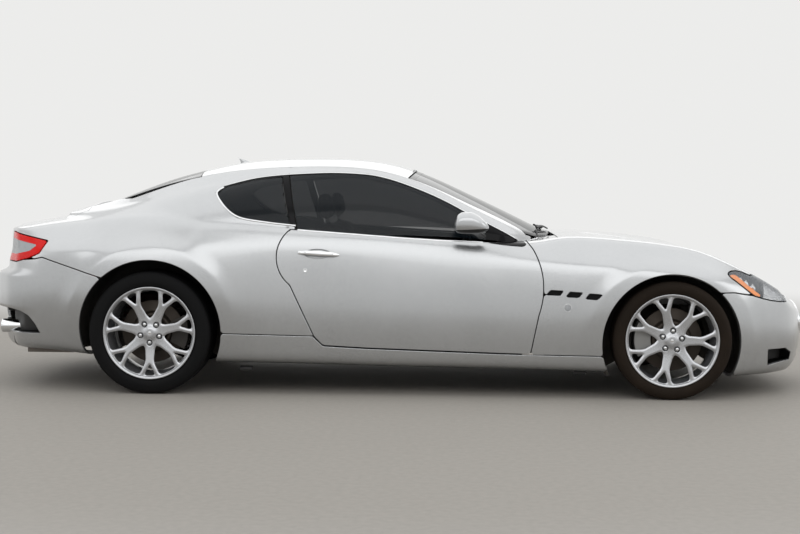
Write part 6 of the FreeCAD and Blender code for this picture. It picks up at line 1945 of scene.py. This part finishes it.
@dataclass(frozen=True)
class Pad:
    """A cushion of the seats.

    Attributes:
        name: the piece's name, with the side's word for {}.
        centre: how far from the car's middle it lies, mm.
        line: stations of its middle line: x, z, half width, half thickness and its sides' rise, mm.
        seams: how far out its sewn channels run, as shares of the half width.
        swell: the most that the cloth may move, m.
        round_end: how far from its two ends it starts to draw in, m.
        squareness: exponent of its section, 1 for an ellipse and 0 for a box.
    """

    name: str
    centre: float
    line: tuple
    seams: tuple = (0.62,)
    swell: float = 0.014
    round_end: float = 0.045
    squareness: float = 0.55

    def points(self) -> np.ndarray:
        """Rings round the middle line: rounded rectangles with raised sides, drawn in to a rounded end."""
        table = np.array(self.line, dtype=float) * MM
        run = np.concatenate([[0], np.cumsum(np.hypot(*np.diff(table[:, :2], axis=0).T))])
        at = np.linspace(0, run[-1], 40)
        x, z, wide, thick, stand = monotone_curve(run, table, at).T
        inward = np.clip(np.minimum(at, run[-1] - at) / self.round_end, 0.02, 1)
        draw = np.sqrt(inward * (2 - inward))
        ahead = unit(np.stack([np.gradient(x), np.gradient(z)], axis=1))
        angle = np.linspace(0, 2 * math.pi, 72, endpoint=False)
        across = np.sign(np.cos(angle)) * np.abs(np.cos(angle)) ** self.squareness
        up = np.sign(np.sin(angle)) * np.abs(np.sin(angle)) ** self.squareness
        a = across[None] * (wide * (0.86 + 0.14 * draw))[:, None]
        b = up[None] * (thick * draw)[:, None] + np.where(up > 0, np.abs(across) ** 4 * up,
                                                          0)[None] * (stand * draw)[:, None]
        return np.stack([x[:, None] - ahead[:, 1:] * b, -self.centre * MM + a,
                         z[:, None] + ahead[:, :1] * b], axis=2)

    def build(self, shop: Workshop, node: str) -> None:
        """Sews, swells and fits the cushion and its twin."""
        grid = self.points()
        obj = grid_object(self.name.format("right"), self.capped(grid), shop.material["seat leather"], False,
                          True)
        swell(obj, self.swell)
        self.sew(obj)
        points = np.array([v.co for v in obj.data.vertices]) * np.array([1.0, -1.0, 1.0])
        loops = [np.array([list(p.vertices)[::-1] for p in obj.data.polygons if len(p.vertices) == n])
                 for n in sorted({len(p.vertices) for p in obj.data.polygons})]
        twin = mesh_object(self.name.format("left"), points, loops, shop.material["seat leather"])
        for piece in (obj, twin):
            shop.fit(piece, "chassis", node)

    @staticmethod
    def capped(grid: np.ndarray) -> np.ndarray:
        """The rings with their ends drawn to a point."""
        ends = [np.broadcast_to(ring.mean(axis=0), ring.shape)[None] for ring in (grid[0], grid[-1])]
        return np.concatenate([ends[0], grid, ends[1]])

    def sew(self, obj: bpy.types.Object) -> None:
        """Sinks the channels beside the raised sides and across the cushion."""
        table = np.array(self.line, dtype=float) * MM
        points = np.array([v.co for v in obj.data.vertices])
        ways = np.array([v.normal for v in obj.data.vertices])
        wide = table[:, 2].mean()
        out = np.abs(points[:, 1] + self.centre * MM) / wide
        run = table[-1, :2] - table[0, :2]
        share = ((points[:, [0, 2]] - table[0, :2]) @ run) / (run @ run)
        sink = sum(np.exp(-((out - seam) * wide / 0.006) ** 2) for seam in self.seams)
        cross = sum(np.exp(-((share - k) * np.hypot(*run) / 0.007) ** 2) for k in (0.32, 0.5, 0.68))
        sink = sink + cross * smooth_step(self.seams[0] + 0.02, self.seams[0] - 0.06, out)
        points = points - ways * (0.006 * np.clip(sink, 0, 1))[:, None]
        obj.data.vertices.foreach_set("co", points.astype(np.float32).ravel())
        obj.data.update()


def swell(obj: bpy.types.Object, most: float, voxel: float = 0.008) -> None:
    """Fills a cushion: an even mesh of it is blown up as cloth, its movement capped, and thinned out."""
    scene = bpy.context.scene
    remesh = obj.modifiers.new("even", "REMESH")
    remesh.mode, remesh.voxel_size = "VOXEL", voxel
    even = bpy.data.meshes.new_from_object(obj.evaluated_get(bpy.context.evaluated_depsgraph_get()))
    obj.modifiers.clear()
    obj.data = even
    start = np.array([v.co for v in even.vertices])
    cloth = obj.modifiers.new("cloth", "CLOTH")
    cloth.settings.use_pressure = True
    cloth.settings.uniform_pressure_force = 4.0
    cloth.settings.effector_weights.gravity = 0.0
    cloth.settings.quality = 4
    cloth.point_cache.frame_start, cloth.point_cache.frame_end = 1, 20
    for frame in range(1, 21):
        scene.frame_set(frame)
    done = obj.evaluated_get(bpy.context.evaluated_depsgraph_get())
    end = np.array([v.co for v in done.data.vertices])
    obj.modifiers.clear()
    scene.frame_set(1)
    if end.shape == start.shape and np.isfinite(end).all():
        move = end - start
        size = np.linalg.norm(move, axis=1, keepdims=True)
        even.vertices.foreach_set("co", (start + move * np.minimum(1, most / np.maximum(size, 1e-9)))
                                  .astype(np.float32).ravel())
    thin = obj.modifiers.new("thin", "DECIMATE")
    thin.ratio = 0.45
    final = bpy.data.meshes.new_from_object(obj.evaluated_get(bpy.context.evaluated_depsgraph_get()))
    obj.modifiers.clear()
    obj.data = final
    final.polygons.foreach_set("use_smooth", np.full(len(final.polygons), True))


PADS = (
    Pad("seat_cushion_{}", 395, ((-215, 372, 200, 62, 12), (-60, 372, 226, 66, 30), (150, 392, 228, 68, 34),
                                 (300, 412, 222, 62, 26), (342, 404, 205, 48, 8))),
    Pad("seat_back_{}", 395, ((-212, 430, 205, 62, 18), (-262, 560, 224, 66, 48), (-330, 720, 226, 66, 52),
                              (-386, 880, 205, 58, 34), (-414, 968, 165, 44, 8))),
    Pad("head_rest_{}", 395, ((-413, 990, 96, 40, 0), (-420, 1040, 128, 46, 2), (-428, 1100, 122, 42, 2),
                              (-434, 1138, 90, 30, 0)), (0.80,), 0.008),
    Pad("rear_cushion_{}", 349, ((-945, 352, 170, 40, 10), (-850, 350, 186, 48, 22),
                                 (-720, 366, 186, 50, 22), (-650, 372, 172, 40, 6))),
    Pad("rear_back_{}", 349, ((-992, 430, 172, 36, 10), (-1020, 560, 186, 42, 24), (-1056, 720, 184, 42, 24),
                              (-1082, 868, 160, 32, 6))),
)


class Cabin(Fitter):
    """Seats, dashboard, console, steering wheel, door cards and the dark lining of roof and pillars."""

    wheel_centre = np.array([0.395, 0.395, 0.800])
    wheel_tilt = math.radians(-68)
    dash = outline((872, 548), (650, 548), (585, 624), (562, 720), (592, 796), (690, 858), (735, 866),
                   (868, 842))

    def build(self) -> None:
        """Makes the cabin."""
        for pad in PADS:
            pad.build(self.shop, "seats")
        self.seat_frames()
        self.dashboard()
        self.steering_wheel()
        self.linings()

    def seat_frames(self) -> None:
        """Under each front seat a moulded frame on rails, and the two posts of the head rest."""
        rows = np.linspace(-0.22, 0.30, 30)
        section = four_cornered(0.205, 0.200, 0.220, 0.335, 0.04)
        widths = 0.9 + 0.1 * np.sin(np.linspace(0.15, math.pi - 0.15, 30))
        rings = [np.stack([np.full(len(section), x), -0.395 + section[:, 0] * wide, section[:, 1]], axis=1)
                 for x, wide in zip(rows, widths)]
        grid = np.stack(rings)
        self.merged("seat_frames", "chassis", many([Pad.capped(grid)], False, True), "grained plastic",
                    tidy=True)
        posts = [aimed(np.array([(-0.05, 0.0001), (-0.05, 0.006), (0.045, 0.006), (0.045, 0.0001)]), 16,
                       np.array([-0.414, -0.395 + y, 0.985]), np.array([-0.1, 0, 1])) for y in (-0.06, 0.06)]
        self.merged("head_rest_posts", "chassis", many(posts, True, False), "polished chrome", tidy=True)

    def dashboard(self) -> None:
        """The dash with a hood over the dials, its screen, and the console with the gear lever."""
        profile = rounded_profile(self.dash, 0.030)
        y = np.linspace(-0.645, 0.645, 110)
        hood = 0.014 * np.exp(-((y - 0.395) / 0.15) ** 4)
        grid = np.stack([np.stack([profile[:, 0] - 0.02 * (1 - (v / 0.7) ** 2) * (profile[:, 0] < 0.72),
                                   np.full(len(profile), v),
                                   profile[:, 1] + h * smooth_step(0.76, 0.84, profile[:, 1])], axis=1)
                         for v, h in zip(y, hood)])
        self.one("dash_top", "chassis", many([Pad.capped(grid)], False, True), "grained plastic",
                 "dashboard", tidy=True)
        screen = four_cornered(0.105, -0.055, 0.105, 0.055, 0.012)
        way = unit(np.array([-0.93, 0.0, 0.36]))
        up = np.array([0.36, 0.0, 0.93])
        rings = [np.array([0.536, 0.0, 0.735]) + way * d + np.outer(screen[:, 0] * s, [0, 1, 0]) + np.outer(
            screen[:, 1] * s, up) for d, s in ((-0.02, 1.0), (0.008, 1.0), (0.010, 0.97), (0.006, 0.93),
                                               (0.006, 0.01))]
        self.one("dash_screen", "chassis", many([np.stack(rings)], False, True), "gloss black", tidy=True)
        x = np.linspace(-0.485, 0.655, 90)
        top = monotone_curve(np.array([-0.485, -0.44, -0.2, 0.1, 0.4, 0.56, 0.60, 0.655]),
                             np.array([0.485, 0.52, 0.50, 0.44, 0.45, 0.48, 0.57, 0.59])[:, None], x)[:, 0]
        angle = np.linspace(0, math.pi, 30)
        arch_y = np.sign(np.cos(angle)) * np.abs(np.cos(angle)) ** 0.45 * 0.092
        arch_z = np.sin(angle) ** 0.45
        grid = np.stack([np.stack([np.full(30, a), arch_y, 0.335 + (t - 0.335) * arch_z], axis=1)
                         for a, t in zip(x, top)])
        self.one("console", "chassis", many([Pad.capped(grid)], False, True), "grained plastic", "dashboard",
                 tidy=True)
        lever = np.array([(-0.01, 0.0001), (-0.01, 0.050), (0.010, 0.046), (0.035, 0.024), (0.050, 0.012),
                          (0.075, 0.011), (0.085, 0.019), (0.100, 0.025), (0.118, 0.024), (0.128, 0.015),
                          (0.131, 0.0001)])
        self.one("gear_lever", "chassis", many([aimed(lever, 28, np.array([0.27, 0.0, 0.440]),
                                                      np.array([-0.1, 0, 1.0]))], True, False),
                 "wheel leather", tidy=True)

    def on_wheel(self, points: np.ndarray) -> np.ndarray:
        """Points of the steering wheel's own plane, its axis along the third coordinate, in the car."""
        c, s = math.cos(self.wheel_tilt), math.sin(self.wheel_tilt)
        turn = np.array([[c, 0, s], [0, 1, 0], [-s, 0, c]])
        return self.wheel_centre + points @ turn.T

    def steering_wheel(self) -> None:
        """A leather ring, three spokes, a plain crowned hub pad and the column's shroud."""
        a = np.linspace(0, 2 * math.pi, 96, endpoint=False)[:, None]
        b = np.linspace(0, 2 * math.pi, 20, endpoint=False)[None]
        radius = 0.188 + 0.0155 * np.cos(b)
        ring = np.stack([radius * np.cos(a), radius * np.sin(a), np.broadcast_to(0.0165 * np.sin(b),
                                                                                 (96, 20))], axis=2)
        self.one("steering_ring", "steering_wheel", many([self.on_wheel(ring)], True, True), "wheel leather",
                 "steering_wheel", tidy=True)
        spokes = []
        for angle, wide in ((math.pi / 2, 0.024), (-math.pi / 2, 0.024), (0.0, 0.030)):
            way = np.array([math.cos(angle), math.sin(angle), 0.0])
            side = np.array([-way[1], way[0], 0.0])
            s = np.linspace(0, 1, 12)
            path = np.outer(0.045 + 0.135 * s, way) + np.outer(-0.030 * (1 - s) ** 2, [0, 0, 1])
            ringed = np.linspace(0, 2 * math.pi, 16, endpoint=False)
            half = (wide * (1 + 0.5 * (1 - s)))[:, None, None]
            grid = (path[:, None] + side * (np.cos(ringed)[None, :, None] * half)
                    + np.array([0, 0, 1.0]) * (0.007 * np.sin(ringed))[None, :, None])
            spokes.append(self.on_wheel(Pad.capped(grid)))
        self.one("steering_spokes", "steering_wheel", many(spokes, False, True), "bright trim", tidy=True)
        hub = np.array([(-0.16, 0.0001), (-0.16, 0.030), (-0.055, 0.032), (-0.045, 0.060), (-0.022, 0.070),
                        (-0.008, 0.066), (0.000, 0.045), (0.003, 0.0001)])
        grid = np.stack([np.stack([hub[:, 1] * math.cos(t), hub[:, 1] * math.sin(t), hub[:, 0]], axis=1)
                         for t in np.linspace(0, 2 * math.pi, 48, endpoint=False)])
        self.one("steering_hub", "steering_wheel", many([self.on_wheel(grid)], True, False), "wheel leather",
                 tidy=True)

    def linings(self) -> None:
        """Door cards with arm rests, and the dark lining of the roof, its pillars and the cabin's back."""
        w = self.skin.window(-0.62, 0.80, True)
        inner = shifted(w, 0.060)
        card = np.maximum.reduce([Bodywork.side(w, DOOR) + 0.035, w["z"] - 0.868, 0.30 - w["z"],
                                  0.02 - w["crease"]])
        self.pair("door_card_{}", "door_{}", closed_pane(Patch(inner["p"], inner["n"], card), 0.012),
                  "seat leather")
        x = np.linspace(-0.36, 0.42, 40)
        place = np.array([self.surface_at(a, 0.64)[0] for a in x]) + np.array([0, 0.085, 0])
        section = four_cornered(0.018, -0.016, 0.018, 0.020, 0.012)
        grid = swept(place, section, np.broadcast_to(np.array([0.0, 1.0, 0.0]), place.shape))
        self.pair("arm_rest_{}", "door_{}", many([Pad.capped(grid)], False, True), "wheel leather",
                  tidy=True)
        glass = Glasshouse(self.shop, self.skin)
        w = {key: values[::2, ::2] for key, values in glass.window(-1.62, 0.90, False).items()}
        inner = shifted(w, 0.028)
        right = np.minimum(Bodywork.side(w, SIDE_GLASS), Bodywork.side(w, REAR_SIDE_GLASS)) + 0.002
        ahead = Bodywork.plan(w, WINDSCREEN) + 0.035
        behind = Bodywork.plan(w, REAR_WINDOW) + 0.040
        keep = np.maximum.reduce([-right, -ahead, -behind, 0.90 - w["z"], w["crease"] - 0.03])
        lining = closed_pane(Patch(inner["p"], inner["n"], keep), 0.006)
        self.one("roof_lining", "chassis", lining, "headlining")


@dataclass
class Studio:
    """The camera of the photograph, soft lamps, a pale floor and a pale surround."""

    place: tuple = (0.39508, -9.2991, 1.2143)
    yaw: float = 0.04220
    pitch: float = -0.05720
    roll: float = -0.00716
    lens: float = 67.48
    stone: tuple = (0.46, 0.43, 0.385, 1.0)
    dark_stone: tuple = (0.36, 0.335, 0.30, 1.0)
    pale: tuple = (0.84, 0.84, 0.83, 1.0)
    lamps: tuple = (("ceiling", (0.0, 0.0, 6.0), (14.0, 9.0), 230.0, (0.0, 0.0, 0.0)),
                    ("near side", (0.5, -8.5, 5.6), (14.0, 4.6), 220.0, (0.2, 0.0, 0.8)),
                    ("nose side", (9.0, -2.5, 4.0), (6.0, 4.0), 90.0, (0.5, 0.0, 0.7)),
                    ("tail side", (-9.0, -2.5, 4.0), (6.0, 4.0), 45.0, (-0.5, 0.0, 0.7)),
                    ("far side", (0.0, 8.5, 5.0), (14.0, 4.0), 130.0, (0.0, 0.0, 0.8)))

    def build(self) -> None:
        """Makes the camera, the lamps, the floor and the world."""
        scene = bpy.context.scene
        scene.view_settings.view_transform = "Standard"
        turn = Matrix.Rotation(self.yaw, 3, "Z") @ Matrix.Rotation(self.pitch, 3,
                                                                   "X") @ Matrix.Rotation(self.roll, 3, "Y")
        right, ahead, up = turn.col[0], turn.col[1], turn.col[2]
        camera = bpy.data.objects.new("camera", bpy.data.cameras.new("camera"))
        camera.data.lens = self.lens
        camera.matrix_world = Matrix.Translation(self.place) @ Matrix((right, up,
                                                                       -ahead)).transposed().to_4x4()
        scene.collection.objects.link(camera)
        scene.camera = camera
        for name, place, size, watts, aim in self.lamps:
            lamp = bpy.data.lights.new(name, "AREA")
            lamp.shape, lamp.size, lamp.size_y, lamp.energy = "RECTANGLE", size[0], size[1], watts
            obj = bpy.data.objects.new(name, lamp)
            obj.location = place
            obj.rotation_mode = "QUATERNION"
            obj.rotation_quaternion = (Vector(aim) - Vector(place)).to_track_quat("-Z", "Y")
            scene.collection.objects.link(obj)
        self.world()
        self.floor()

    @staticmethod
    def seen(tree: bpy.types.NodeTree) -> bpy.types.NodeSocket:
        """1 for the camera's own rays, and for those that metal and glass send on."""
        paths = add_node(tree, "LightPath").outputs
        share = paths["Is Camera Ray"]
        for name in ("Is Glossy Ray", "Is Transmission Ray"):
            share = add_node(tree, "Math", {0: share, 1: paths[name]}, operation="MAXIMUM").outputs[0]
        return share

    def world(self) -> None:
        """A grey surround that the camera, metal and glass see as near white."""
        world = bpy.data.worlds.new("surround")
        world.use_nodes = True
        tree = world.node_tree
        tree.nodes.clear()
        seen = self.seen(tree)
        soft = add_node(tree, "Background", {"Color": (0.62, 0.64, 0.67, 1), "Strength": 0.55})
        pale = add_node(tree, "Background", {"Color": self.pale, "Strength": 1.0})
        mix = add_node(tree, "MixShader", {0: seen, 1: soft.outputs[0], 2: pale.outputs[0]})
        add_node(tree, "OutputWorld", {"Surface": mix.outputs[0]})
        bpy.context.scene.world = world

    def floor(self) -> None:
        """A wide floor: paving near the car that fades to the pale surround."""
        half = 60.0
        points = np.array([(-half, -half, 0), (half, -half, 0), (half, half, 0), (-half, half, 0)])
        material = bpy.data.materials.new("pale floor")
        material.use_nodes = True
        tree = material.node_tree
        tree.nodes.clear()
        place = add_node(tree, "TexCoord").outputs["Object"]
        speck = add_node(tree, "TexNoise", {"Vector": place, "Scale": 30.0, "Detail": 8.0}).outputs["Fac"]
        shade = add_node(tree, "Mix", {0: speck, 6: self.stone, 7: self.dark_stone},
                         data_type="RGBA").outputs[2]
        bump = add_node(tree, "Bump", {"Height": speck, "Distance": 0.0005}).outputs[0]
        shader = add_node(tree, "BsdfPrincipled", {"Base Color": shade, "Roughness": 0.75, "Normal": bump})
        away = add_node(tree, "VectorMath", {0: place}, operation="LENGTH").outputs["Value"]
        far = add_node(tree, "MapRange", {"Value": away, "From Min": 3.6, "From Max": 9.0},
                       interpolation_type="SMOOTHSTEP")
        share = add_node(tree, "Math", {0: far.outputs[0], 1: self.seen(tree)},
                         operation="MULTIPLY").outputs[0]
        glow = add_node(tree, "Emission", {"Color": self.pale})
        mix = add_node(tree, "MixShader", {0: share, 1: shader.outputs[0], 2: glow.outputs[0]})
        add_node(tree, "OutputMaterial", {"Surface": mix.outputs[0]})
        floor = mesh_object("floor", points, [np.array([[0, 1, 2, 3]])], material)


def main() -> None:
    """Loads the frame and builds every part of the car in order."""
    logging.basicConfig(level=logging.INFO, format="%(name)s: %(message)s")
    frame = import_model()
    Studio().build()
    shop = Workshop()
    form = BodyForm()
    bodywork = Bodywork(shop, form)
    bodywork.build()
    Glasshouse(shop, bodywork).build()
    for name, x, track, hub, tyre, rim, phases, rubber, bolt_turn in AXLES:
        for side, phase in zip(Side, phases):
            Wheel(shop, "%s_%s" % (name, side.word), x, track, hub, tyre, rim, phase, side, rubber,
                  bolt_turn).build()
    for kind in (Lamps, Openings, Fittings, Cabin):
        kind(shop, bodywork).build()
    for name, finish in CARRIED.items():
        shop.dress(frame["nodes"][name], finish)


if __name__ == "__main__":
    main()
